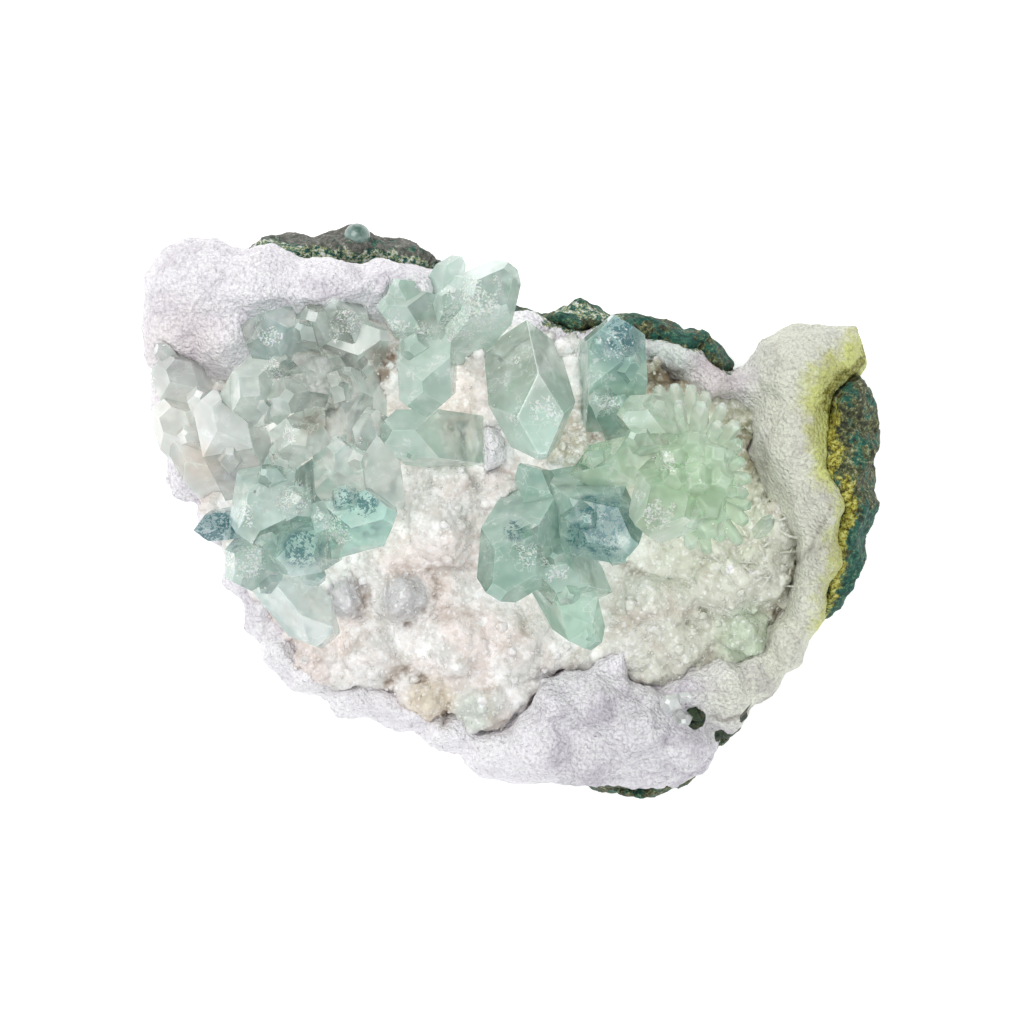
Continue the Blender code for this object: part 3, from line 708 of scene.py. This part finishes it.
for x, y, radius, fade, strength, tint in ROUGH_ZONES:
    druse_zoned = druse.blend(druse.spot(x, y, radius, fade) * druse_rough * strength, druse_zoned, tint)
for x, y, radius, fade, strength, tint in EVEN_ZONES:
    druse_zoned = druse.blend(druse.spot(x, y, radius, fade) * strength, druse_zoned, tint)
druse_ice = druse.part(druse.pebbles(1.1, output="Color"), "Green")
druse_icy = druse.blend(0.9 * druse_ice, druse_zoned, (0.8, 0.79, 0.77), "MULTIPLY")
# The creases between the lumps turn brown: painted shade with some dirt.
druse_crease_dirt_and_shade = druse.step(druse.mark("dip") + 0.6 * druse_sugar, 0.8, 1.3)
druse_colour = druse.blend(druse_crease_dirt_and_shade * 0.5, druse_icy, (0.5, 0.4, 0.33))
# The folds turn dark brown, partly dirt and partly painted shade.
druse_dirt_and_shade = druse.step(druse.mark("fold") + 0.5 * (druse_sugar - 0.5), 0.05, 0.85)
druse_colour = druse.blend(druse_dirt_and_shade * 0.85, druse_colour, (0.2, 0.135, 0.08))
druse_flecks = druse.pebbles(0.45, output="Color")
druse_glint = druse.step(druse.part(druse_flecks, "Red"), 0.87, 0.89)
# Glinting grains are whitened as well as turned: a painted glint.
druse_colour = druse.blend(druse_glint * (1 - druse_dirt_and_shade) * 0.5, druse_colour, (1, 1, 1))
druse_normal = druse.bump(druse_sugar, 0.26, druse.tilted(druse_flecks, 0.4 * druse_glint))
druse_surface = druse.add("ShaderNodeBsdfPrincipled", None,
                          {"Base Color": druse_colour, "Roughness": 0.35, "IOR": 1.544,
                           "Subsurface Weight": 0.35, "Subsurface Radius": (1.0, 0.95, 0.85),
                           "Subsurface Scale": 1.0 * MM, "Normal": druse_normal})
druse.finished(druse_surface)
print("druse finish:", druse.material.name)

# %% Druse bed
DRUSE_GRID = 0.42
DRUSE_GROWTH = 0.42
RIM_REACH = 3.0
DRUSE_RAGS = 1.1


def druse_lumps(place):
    """The rounded lumps of the bed, 0 in a crease and 1 on a crown."""
    return 1 - min(1.0, cells(place + Vector((3, 9, 2)), 4.2))


def druse_height(place, fold, rim):
    """Low lumps and crumbs. Along the crust the bed laps over it or draws back, irregularly."""
    crumbs = 0.5 - cells(place + Vector((1, 5, 8)), 1.3)
    ice = noise.fractal(place / 1.5, 0.8, 2.0, 3)
    lap = rim * (0.5 + 1.6 * max(-0.25, noise.fractal(place / 2.6 + Vector((5, 5, 5)), 0.9, 2.0, 3)))
    lumps = 0.55 * (druse_lumps(place) - 0.5)
    return DRUSE_GROWTH + lumps + 0.34 * crumbs + 0.3 * ice + lap - 0.8 * fold


druse_bed = piece_of(merged("quartz_druse"), "druse_bed", druse.material)
even_grid(druse_bed, DRUSE_GRID)
crust_tree = reach_of("chalcedony_crust")
write_marks(druse_bed, "dip", [1 - druse_lumps(vertex.co / MM) for vertex in druse_bed.data.vertices])
druse_folds = folded(druse_bed, DRUSE_RAGS)
write_marks(druse_bed, "fold", druse_folds)
druse_rims = nearness(druse_bed, crust_tree, RIM_REACH)
relief(druse_bed, [druse_height(vertex.co / MM, fold, rim)
                   for vertex, fold, rim in zip(druse_bed.data.vertices, druse_folds, druse_rims)])
keep_inside(druse_bed)
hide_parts("quartz_druse")
report(druse_bed)

# %% [markdown]
# A quartz point is a six-sided prism under a six-sided pyramid. One is modelled from a cone and
# copied in bulk: each copy is turned to stand on the bed, tipped a little at random and given its
# own length. All of them go into one mesh, because thousands of objects would be slow to handle.

# %% Quartz points
POINT_SIDES = 6
random.seed(11)


def quartz_point():
    """One quartz point, a unit wide and standing on the origin along +Z."""
    shape = bmesh.new()
    made = bmesh.ops.create_cone(shape, segments=POINT_SIDES, radius1=0.42, radius2=0.42, depth=1.2,
                                 cap_ends=True, cap_tris=False, matrix=Matrix.Translation((0, 0, 0.4)))
    top = max(shape.faces, key=lambda face: face.calc_center_median().z)
    tip = bmesh.ops.extrude_discrete_faces(shape, faces=[top])["faces"][0]
    bmesh.ops.translate(shape, verts=tip.verts, vec=(0, 0, 0.45))
    bmesh.ops.scale(shape, verts=tip.verts, vec=(0.12, 0.12, 1),
                    space=Matrix.Translation(-tip.calc_center_median()))
    bmesh.ops.recalc_face_normals(shape, faces=shape.faces)
    mesh = bpy.data.meshes.new("quartz_point")
    shape.to_mesh(mesh)
    shape.free()
    return mesh


def standing(place, normal, width, length, tip):
    """Where a small crystal stands: its foot, its own random turn, and its size."""
    lean = Vector([random.uniform(-tip, tip) for _ in range(3)])
    turn = (normal + lean).to_track_quat("Z", "Y").to_matrix().to_4x4()
    spin = Matrix.Rotation(random.uniform(0, math.tau), 4, "Z")
    size = Matrix.Diagonal((width * MM, width * MM, length * MM, 1))
    return Matrix.Translation(place) @ turn @ spin @ size


def planted(template, places):
    """A bmesh with one copy of a template at each place."""
    shape = bmesh.new()
    for place in places:
        copy = template.copy()
        copy.transform(place)
        shape.from_mesh(copy)
        bpy.data.meshes.remove(copy)
    return shape


def spots_on(piece, count, wanted):
    """Random vertices of a piece that face up and that wanted(place) accepts, with their normals."""
    able = [vertex for vertex in piece.data.vertices
            if vertex.normal.z > 0.1 and wanted(vertex.co / MM)]
    chosen = random.sample(able, min(count, len(able)))
    return [(vertex.co.copy(), vertex.normal.copy()) for vertex in chosen]


point = quartz_point()
places = [standing(place, normal, random.uniform(0.25, 0.6), random.uniform(0.15, 0.4), 0.9)
          for place, normal in spots_on(druse_bed, 1200, lambda place: True)]
places += [standing(place - 0.8 * MM * normal, normal,
                    random.uniform(1.2, 2.6), random.uniform(0.9, 1.5), 1.3)
           for place, normal in spots_on(druse_bed, 110, lambda place: True)]
places += [standing(place, normal, random.uniform(0.35, 0.6), random.uniform(1.4, 2.6), 2.4)
           for place, normal in spots_on(druse_bed, 60, lambda place: place.x > 34 and place.y > -12)]
druse_points = piece_of(planted(point, places), "druse_points", druse.material, smooth=False)
for mark, value in [("dip", 0.25), ("fold", 0.0)]:
    write_marks(druse_points, mark, [value] * len(druse_points.data.vertices))
keep_inside(druse_points)
report(druse_points)

# %% [markdown]
# Apophyllite is glassy and see-through, tinted mint by traces of vanadium, but these crystals also
# hold milky veils, so they glow rather than look like bottle glass. One clear and one milky shader
# share the same colour, and a mix between them changes with cloudy noise and from face to face.
# A plain volume absorption deepens the colour of thick parts. Healed cracks inside the crystals show as
# patches of flakes that glitter: each flake there is turned at random and whitened, which is a painted
# glint. Seen from the side such a crack is a fine pale line, drawn where a cloudy noise crosses its
# middle.
# Blue green inclusions are patches of fine dark specks.

# %% Crystal finish
INCLUSION_COLOUR = (0.03, 0.13, 0.15)


def crystal_finish(name, tint, depth_tint, density, milk=0.5, zones=(), inclusions=(), glitter=()):
    """Clear and milky crystal. Zones, inclusions and glitter are x, y and radius, and a colour."""
    glass = Finish(name)
    facet = glass.mark("facet")
    cloud = glass.grain(5, detail=2, roughness=0.55)
    wisp = glass.grain(1.6, detail=3, roughness=0.65, shift=(0.05, 0.2, 0.1), stretch=(1, 1, 0.4))
    # The paler colour shows the milky veils and, on faces whose own random number is high, painted
    # light. Faces with a low number get the darker colour, painted shade.
    pale = [0.62 * part + 0.3 for part in tint]
    dark = [0.74 * part for part in tint]
    veils = 0.5 * glass.step(cloud, 0.42, 0.66) + 0.25 * glass.step(wisp, 0.45, 0.65)
    body = glass.blend(veils + 0.4 * glass.step(facet, 0.75, 1), tint, pale)
    body = glass.blend(0.8 * glass.step(facet, 0.4, 0), body, dark)
    for x, y, radius, zone_tint in zones:
        body = glass.blend(glass.spot(x, y, radius, 0.5) * 0.8, body, zone_tint)
    crack_field = glass.grain(4, detail=3, roughness=0.6, shift=(0.2, 0.4, 0.3), stretch=(1, 1, 0.4))
    off_crack = glass.add("ShaderNodeMath", {"operation": "ABSOLUTE"}, {0: crack_field - 0.5})
    cracks = (1 - glass.step(off_crack, 0.004, 0.016)) * glass.step(cloud, 0.4, 0.55)
    body = glass.blend(0.55 * cracks, body, (0.97, 1.0, 0.98))
    # The bevels along the outer edges are whitened: a painted highlight.
    body = glass.blend(0.3 * glass.mark("edge"), body, (0.97, 1.0, 0.98))
    speck = glass.grain(0.55, detail=3, roughness=0.8)
    drift = glass.grain(1.6, detail=2, roughness=0.6, shift=(0.6, 0, 0), stretch=(1, 0.6, 0.6))
    inclusion = 0.0 * cloud
    for x, y, radius in inclusions:
        inclusion = glass.math("MAXIMUM", inclusion, glass.spot(x, y, 1.15 * radius, 0.35))
    inclusion = inclusion * glass.step(speck + 0.6 * (drift - 0.5), 0.47, 0.53)
    flakes = glass.pebbles(0.26, output="Color")
    sparkle = 0.0 * cloud
    for x, y, radius in glitter:
        sparkle = glass.math("MAXIMUM", sparkle, glass.spot(x, y, 1.15 * radius, 0.6))
    sparkle = glass.step(sparkle + 2.6 * (drift - 0.5), 0.2, 1.1)
    flake = glass.step(glass.part(flakes, "Red") + 0.55 * sparkle, 1.0, 1.2)
    ripple = glass.grain(3.5, detail=2, shift=(0.3, 0, 0.2), stretch=(1, 1, 0.3))
    normal = glass.bump(ripple, 0.03, glass.tilted(flakes, 0.9 * flake))
    clear = glass.add("ShaderNodeBsdfPrincipled", None,
                      {"Base Color": body, "Roughness": 0.03, "IOR": 1.535,
                       "Transmission Weight": 1.0, "Normal": normal})
    milky_part = glass.add("ShaderNodeBsdfPrincipled", None,
                           {"Base Color": body, "Roughness": 0.05, "IOR": 1.535, "Normal": normal,
                            "Subsurface Weight": 1.0, "Subsurface Radius": (0.8, 1.0, 0.95),
                            "Subsurface Scale": 0.8 * MM})
    milkiness = milk + 0.25 * (glass.step(cloud, 0.35, 0.7) - 0.5) + 0.5 * (facet - 0.5)
    # The flakes are near white, a painted glint, and the inclusions are dark specks.
    inside_colour = glass.blend(inclusion, glass.blend(0.22, (0.93, 1, 0.97), flakes), INCLUSION_COLOUR)
    crack = glass.add("ShaderNodeBsdfPrincipled", None,
                      {"Base Color": inside_colour, "Roughness": 0.25, "Normal": normal})
    crystal = glass.add("ShaderNodeMixShader", None, {0: milkiness, 1: clear, 2: milky_part}, "Shader")
    shown = glass.math("MAXIMUM", 0.62 * flake, 0.8 * inclusion)
    surface = glass.add("ShaderNodeMixShader", None, {0: shown, 1: crystal, 2: crack}, "Shader")
    inside = glass.add("ShaderNodeVolumeAbsorption", None,
                       {"Color": (*depth_tint, 1), "Density": density})
    glass.finished(surface, inside)
    print("crystal finish:", name)
    return glass


# %% Finishes of the upper crystals
# The grey zone at -31.5, 23 and the dark brown zones at -31.6, 14.2 and -21, 25 are painted shade of
# hollows among these crystals.
grey_green = crystal_finish(
    "apophyllite_grey_green", (0.73, 0.81, 0.76), (0.5, 0.7, 0.62), 10, 0.4,
    zones=[(-31.5, 23, 5.5, (0.5, 0.54, 0.5)), (-38, 29, 4, (0.7, 0.83, 0.81)),
           (-26.5, 13, 4.5, (0.86, 0.92, 0.9)), (-31.6, 14.2, 2, (0.38, 0.35, 0.28)),
           (-30.1, 24.4, 0.5, (0.95, 0.95, 0.95)), (-21, 25, 2.2, (0.35, 0.3, 0.24))],
    glitter=[(-38.2, 22.7, 1.7), (-26.2, 30.9, 1.9), (-28.8, 28.8, 1.2), (-38.2, 28, 1.6),
             (-35, 12.6, 1.6)])
milky = crystal_finish(
    "apophyllite_milky", (0.78, 0.81, 0.79), (0.6, 0.78, 0.7), 6, 0.6,
    zones=[(-50.7, 8, 3.4, (0.78, 0.72, 0.65)), (-56, 16, 5, (0.88, 0.89, 0.84))])
mint = crystal_finish(
    "apophyllite_mint", (0.6, 0.73, 0.66), (0.35, 0.75, 0.6), 12,
    zones=[(-14, 16, 6, (0.64, 0.75, 0.69)), (-9, 14, 5, (0.74, 0.79, 0.73)),
           (-5, 37, 6, (0.82, 0.9, 0.87))],
    glitter=[(-6.6, 32.4, 4.4), (-18.4, 29.8, 1.7), (-14, 29.4, 1.4)])
centre_mint = crystal_finish(
    "apophyllite_centre", (0.53, 0.62, 0.55), (0.35, 0.7, 0.56), 14,
    zones=[(5, 13, 5, (0.6, 0.78, 0.7))],
    glitter=[(5.5, 16.6, 2.2), (0.7, 24.8, 0.6), (0.7, 15, 0.8)])
blue_mint = crystal_finish(
    "apophyllite_blue_mint", (0.43, 0.63, 0.54), (0.3, 0.72, 0.56), 16,
    zones=[(17.4, 28, 4, (0.36, 0.55, 0.56))],
    inclusions=[(17.5, 28.5, 3)], glitter=[(16.8, 27, 2.2), (15.5, 17.7, 1.7)])

# %% Finishes of the lower crystals
low_mint = crystal_finish(
    "apophyllite_low_mint", (0.6, 0.73, 0.68), (0.35, 0.75, 0.6), 12,
    zones=[(-33.4, -5.8, 4.6, (0.5, 0.76, 0.67)), (-24, -0.5, 5.5, (0.58, 0.83, 0.75)),
           (-34.5, -16, 8, (0.68, 0.73, 0.73)), (-48.3, -2.4, 4, (0.6, 0.72, 0.75)),
           (-41, 3.4, 0.22, (0.01, 0.02, 0.02)), (-23.9, 4.2, 0.26, (0.01, 0.02, 0.02))],
    inclusions=[(-48, -2.4, 3.4), (-33.4, -5.6, 3.2), (-24, 1.6, 2.6), (-27.4, 2.3, 1.8)],
    glitter=[(-34.9, 2.4, 2.4), (-29.6, -0.8, 1.8), (-28.4, -3.2, 1.6), (-42.6, -7.6, 2.8),
             (-42.4, -0.2, 1.6)])
deep_mint = crystal_finish(
    "apophyllite_deep_mint", (0.43, 0.61, 0.53), (0.3, 0.72, 0.56), 16,
    zones=[(14.6, -2.4, 6, (0.27, 0.47, 0.44)), (17, -5, 1.6, (0.75, 0.88, 0.83)),
           (10, -17, 6, (0.62, 0.77, 0.68))],
    inclusions=[(12.5, 1, 2), (16, -0.8, 3), (14.6, -4.4, 3), (10.7, -3.6, 2.2), (0.4, -2.6, 1.8)],
    glitter=[(2.9, -6.4, 2), (7, -9.6, 1.6), (5, -7.4, 1)])
spray = crystal_finish(
    "apophyllite_spray", (0.7, 0.81, 0.69), (0.5, 0.78, 0.62), 8, 0.4,
    zones=[(16, 12, 6, (0.58, 0.74, 0.62)), (28.6, 4.8, 6, (0.66, 0.8, 0.62)),
           (33, 20, 8, (0.78, 0.82, 0.75)), (25, 20.5, 4, (0.78, 0.83, 0.76))],
    glitter=[(23.5, -0.4, 2.3), (24.6, 8.3, 1.5), (20.5, 3, 0.8)])

# %% [markdown]
# A crystal's faces are flat and meet in crisp edges, but a real edge still catches a thin line of light.
# Each group's skin is its solid with the flat faces made whole again and the outer edges bevelled by
# about a tenth of a millimetre, and the finish whitens these bevels a little, which is a painted
# highlight. The bevel is left off the inner corners where crystals cross, which are sharp on the real
# thing as well. Every face gets a random number of its own, which its finish turns into a little more or
# less milk and into a paler or darker colour, painted light and shade of the facets.
#
# The real crystals carry smaller ones that grew across their faces. Those are modelled as square
# prisms with a point and joined to the skin by an exact Boolean before the bevel, because clear
# crystals that only overlap would show their hidden faces.

# %% Small companions
POINT_SLOPE = 1.76


def prism(root, tip, width, depth, turn, flat=0.25):
    """A square prism from root to tip, with its corners cut to a point. All in millimetres."""
    root, tip = Vector(root), Vector(tip)
    length = (tip - root).length
    shape = bmesh.new()
    bmesh.ops.create_cube(shape, size=1, matrix=Matrix.Translation((0, 0, 0.5)))
    bmesh.ops.scale(shape, vec=(width, depth, length), verts=shape.verts)
    for quarter in range(4):
        facing = math.radians(45 + 90 * quarter)
        normal = (math.cos(facing) * POINT_SLOPE, math.sin(facing) * POINT_SLOPE, 1)
        cut = bmesh.ops.bisect_plane(shape, geom=shape.verts[:] + shape.edges[:] + shape.faces[:],
                                     plane_co=(0, 0, length + flat * min(width, depth)),
                                     plane_no=normal, clear_outer=True)
        rim = [part for part in cut["geom_cut"] if isinstance(part, bmesh.types.BMEdge)]
        bmesh.ops.edgeloop_fill(shape, edges=rim)
    aim = Vector((0, 0, 1)).rotation_difference(tip - root).to_matrix()
    spin = Matrix.Rotation(math.radians(turn), 3, "Z")
    bmesh.ops.rotate(shape, matrix=aim @ spin, verts=shape.verts)
    bmesh.ops.translate(shape, vec=root, verts=shape.verts)
    bmesh.ops.scale(shape, vec=(MM, MM, MM), verts=shape.verts)
    bmesh.ops.recalc_face_normals(shape, faces=shape.faces)
    return shape


def plain_object(shape, name):
    mesh = bpy.data.meshes.new(name)
    shape.to_mesh(mesh)
    shape.free()
    made = bpy.data.objects.new(name, mesh)
    bpy.context.scene.collection.objects.link(made)
    return made


def joined(shape, companions):
    """The bmesh of a crystal group with its small companions grown into it."""
    body = plain_object(shape, "group")
    for companion in companions:
        other = plain_object(prism(*companion), "companion")
        union = body.modifiers.new("union", "BOOLEAN")
        union.operation = "UNION"
        union.solver = "EXACT"
        union.object = other
        graph = bpy.context.evaluated_depsgraph_get()
        body.data = bpy.data.meshes.new_from_object(body.evaluated_get(graph))
        body.modifiers.clear()
        bpy.data.objects.remove(other, do_unlink=True)
    result = bmesh.new()
    result.from_mesh(body.data)
    bpy.data.objects.remove(body, do_unlink=True)
    return result


print("a prism has", len(prism((0, 0, 0), (0, 0, 5), 2, 2, 0).faces), "faces")

# %% Where the companions grow
COMPANIONS = {
    "apophyllite_upper_left": [
        ((-40, 16, 18), (-44.3, 18.6, 31.5), 3.2, 3, 20), ((-38, 16, 20), (-39.6, 17.8, 34), 3, 2.6, 50),
        ((-33, 26, 18), (-33.8, 29.6, 33), 4, 3.6, 10), ((-35, 24, 18), (-37.3, 23.5, 34), 3.6, 3.2, 35),
        ((-29, 20, 18), (-27, 20.5, 32), 3.4, 5, 15), ((-33, 14, 20), (-31, 15.5, 34.8), 3.2, 3, 5),
        ((-28, 8, 16), (-24.6, 9, 27), 4.6, 4, 25), ((-34, 11, 20), (-37.5, 9, 33), 3.4, 3.6, 60),
        ((-29, 28, 18), (-28.6, 34, 29), 3.2, 3, 25), ((-24, 24, 18), (-22.6, 24, 30.5), 3.4, 3, 40)],
    "apophyllite_left_edge": [
        ((-50, 16, 14), (-50.6, 19.2, 25.5), 4.4, 4, 20), ((-46, 8, 14), (-45.5, 10, 26), 4.4, 4.4, 40),
        ((-52, 12, 12), (-53.2, 13, 23), 3.6, 3, 10)],
    "apophyllite_top": [
        ((-12, 30, 18), (-9.4, 35.6, 31), 3.4, 3, 20),
        ((-14, 28, 17), (-16.8, 26.4, 29.6), 3.6, 3.2, 35),
        ((-13, 14, 16), (-16.6, 9.2, 26.6), 3.4, 3, 15), ((-6, 32, 18), (-2.2, 33, 29.5), 3, 2.6, 10)],
    "apophyllite_lower_left": [
        ((-36, 4, 20), (-39.5, 6.5, 32), 3.8, 3.4, 30), ((-38, -2, 20), (-39.8, -4.8, 32.4), 3, 2.8, 15),
        ((-32, -1, 20), (-30.4, -0.4, 32), 3, 4.6, 20), ((-28, 0, 18), (-26.4, 3.4, 30.5), 3.6, 3, 5),
        ((-38, -6, 18), (-40, -12.6, 27.5), 3.2, 3, 40),
        ((-34, -8, 18), (-31.2, -10.8, 27), 3.4, 3, 10)],
    "apophyllite_middle": [
        ((4, -4, 18), (1.2, -4.6, 33), 4.2, 3.8, 30), ((10, 0, 18), (12, -1, 32.6), 4, 4.6, 50),
        ((6, -6, 18), (6.6, -6.8, 32), 3.4, 3, 10), ((13, -3, 18), (17.8, -7.4, 30), 3.2, 3, 35),
        ((8, -12, 17), (9.4, -13.4, 27), 3.6, 3.2, 20), ((12, -16, 17), (12.4, -20.4, 24), 3, 2.6, 15)],
    "apophyllite_upper_right": [
        ((17, 18, 18), (13.4, 18.4, 28), 3.6, 3.4, 25), ((17, 22, 18), (19.2, 24.4, 31), 4, 3.4, 60),
        ((16, 18, 17), (17.6, 17.4, 27.5), 3, 3, 10), ((16, 24, 18), (13.8, 27.4, 30.5), 3.2, 3, 40)],
}
print(sum(len(group) for group in COMPANIONS.values()), "companions")

# %% Crystal skins
EDGE_WIDTH = 0.11
FLAT_ANGLE = math.radians(1)
OUTER_ANGLE = math.radians(18)
random.seed(23)


def crisp(shape, name, finish):
    """Whole flat faces with a thin bevel on their outer edges, and a number of its own on each."""
    bmesh.ops.dissolve_limit(shape, angle_limit=FLAT_ANGLE, verts=shape.verts, edges=shape.edges)
    facet = shape.faces.layers.float.new("facet")
    edge = shape.faces.layers.float.new("edge")
    for face in shape.faces:
        face[facet] = random.random()
        face[edge] = 0.0
    outer = [part for part in shape.edges
             if part.is_manifold and part.calc_face_angle_signed(0) > OUTER_ANGLE]
    rims = bmesh.ops.bevel(shape, geom=outer, offset=EDGE_WIDTH * MM, offset_type="OFFSET", segments=1,
                           profile=0.5, affect="EDGES", clamp_overlap=True, material=-1)
    for face in rims["faces"]:
        face[edge] = 1.0
    bmesh.ops.triangulate(shape, faces=shape.faces)
    piece = piece_of(shape, name, finish.material, smooth=False)
    keep_inside(piece)
    piece.visible_shadow = False
    report(piece)
    return piece


def crystal_skin(node, name, finish):
    piece = crisp(joined(merged(node), COMPANIONS.get(node, [])), name, finish)
    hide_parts(node)


crystal_skin("apophyllite_upper_left", "upper_left_crystals", grey_green)
crystal_skin("apophyllite_left_edge", "left_edge_crystals", milky)
crystal_skin("apophyllite_top", "top_crystals", mint)
crystal_skin("apophyllite_centre_prism", "centre_crystal", centre_mint)
crystal_skin("apophyllite_lower_left", "lower_left_crystals", low_mint)
crystal_skin("apophyllite_middle", "middle_crystals", deep_mint)
crystal_skin("apophyllite_upper_right", "upper_right_crystals", blue_mint)
crystal_skin("apophyllite_small_prism", "small_right_crystal", spray)

# %% [markdown]
# The spray at the right is different: a head of blocky crystals from which blunt fingers fan out
# like the petals of a flower, round a dome of fat prisms. The head is made again from its four
# prisms and some companions. A voxel remesh melts the dome and the fingers into one skin, and a
# little smoothing rounds their edges.

# %% Spray head
HEAD = [
    ((31, 8, 14), (29, 7, 30), 9, 9, 20, 0.3),
    ((30, 14.5, 15), (17.5, 16, 29), 6.5, 6.5, 10, 0.2), ((27, 10, 14), (9.3, 6.3, 25), 8, 8, 15, 0.0),
    ((31.5, 8, 15), (21.3, -2, 33), 10, 10, 5, 0.25),
    ((24, 11, 18), (19.2, 12.4, 29.6), 4, 3.6, 20), ((24, 14, 18), (22.6, 18, 30), 3.4, 3, 10),
    ((28, 3, 20), (25.6, 6.6, 33.4), 4.6, 4, 35), ((16, 8, 17), (12.2, 8.6, 26.4), 4, 3, 15),
]
spray_head = crisp(joined(prism(*HEAD[0]), HEAD[1:]), "spray_head", spray)

# %% Spray fingers
FAN_ROOT = (29.5, 5.8, 17)
FINGER_TIPS = [
    (23.6, 20.6, 23), (26.2, 20.8, 24.4), (28.9, 20.6, 25), (31.4, 19.6, 24), (34.2, 17.6, 25),
    (36.4, 14.6, 24.6), (33.2, 14.4, 28.4), (36.6, 11.4, 27), (37.2, 8.4, 25.6), (38.4, 5.6, 24.4),
    (37.8, 3, 26), (38.4, 1, 24.4), (38, -1.6, 23), (37, -5, 23), (33.8, -4.4, 25.6),
    (31.6, -6.4, 24), (28.8, -5.6, 26), (35.6, 3.2, 28.4), (35.2, 9.6, 28.6), (34, -1, 27.6),
    (30.4, 17.6, 27), (26.8, 18, 26.6),
]
DOME_TIPS = [
    (24, 1, 29.5), (28, -1.5, 30), (32, 0, 30), (34, 5, 30), (33, 9.5, 30), (29, 12, 30), (25, 9, 31),
    (29, 5.5, 32.5), (32, -3.5, 27.5), (26, -3, 28),
]
FINGER_WIDTH = 1.8
DOME_WIDTH = 5.4
FINGER_GRID = 0.2
SMOOTHINGS = 2


def add_shape(shape, extra):
    """Adds a second bmesh to a first and frees it."""
    carrier = bpy.data.meshes.new("carrier")
    extra.to_mesh(carrier)
    extra.free()
    shape.from_mesh(carrier)
    bpy.data.meshes.remove(carrier)


fan = bmesh.new()
for tip in FINGER_TIPS:
    width = FINGER_WIDTH * random.uniform(0.85, 1.25)
    add_shape(fan, prism(FAN_ROOT, tip, width, width, random.uniform(0, 90), 0.55))
for tip in DOME_TIPS:
    add_shape(fan, prism(FAN_ROOT, tip, DOME_WIDTH, DOME_WIDTH, random.uniform(0, 90), 0.3))
spray_fan = piece_of(fan, "spray_fingers", spray.material)
even_grid(spray_fan, FINGER_GRID)
softened = bmesh.new()
softened.from_mesh(spray_fan.data)
for _ in range(SMOOTHINGS):
    bmesh.ops.smooth_vert(softened, verts=softened.verts, factor=0.5, use_axis_x=True, use_axis_y=True,
                          use_axis_z=True)
softened.to_mesh(spray_fan.data)
softened.free()
write_marks(spray_fan, "facet", [0.5] * len(spray_fan.data.vertices))
keep_inside(spray_fan)
spray_fan.visible_shadow = False
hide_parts("apophyllite_spray")
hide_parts("apophyllite_spray")
report(spray_fan)

# %% Crystals half sunk in the white lobes
LOBE_CRYSTALS = [
    ((27, -32, 16), (25.2, -30.6, 23.6), 3, 2.6, 20),
    ((27.5, -32.5, 16), (27.8, -33.8, 23.2), 2.4, 2.8, 50),
    ((27, -31, 16), (28.8, -29.8, 22.6), 2.2, 1.8, 5),
]
crisp(joined(prism(*LOBE_CRYSTALS[0]), LOBE_CRYSTALS[1:]), "sunk_crystals", milky)
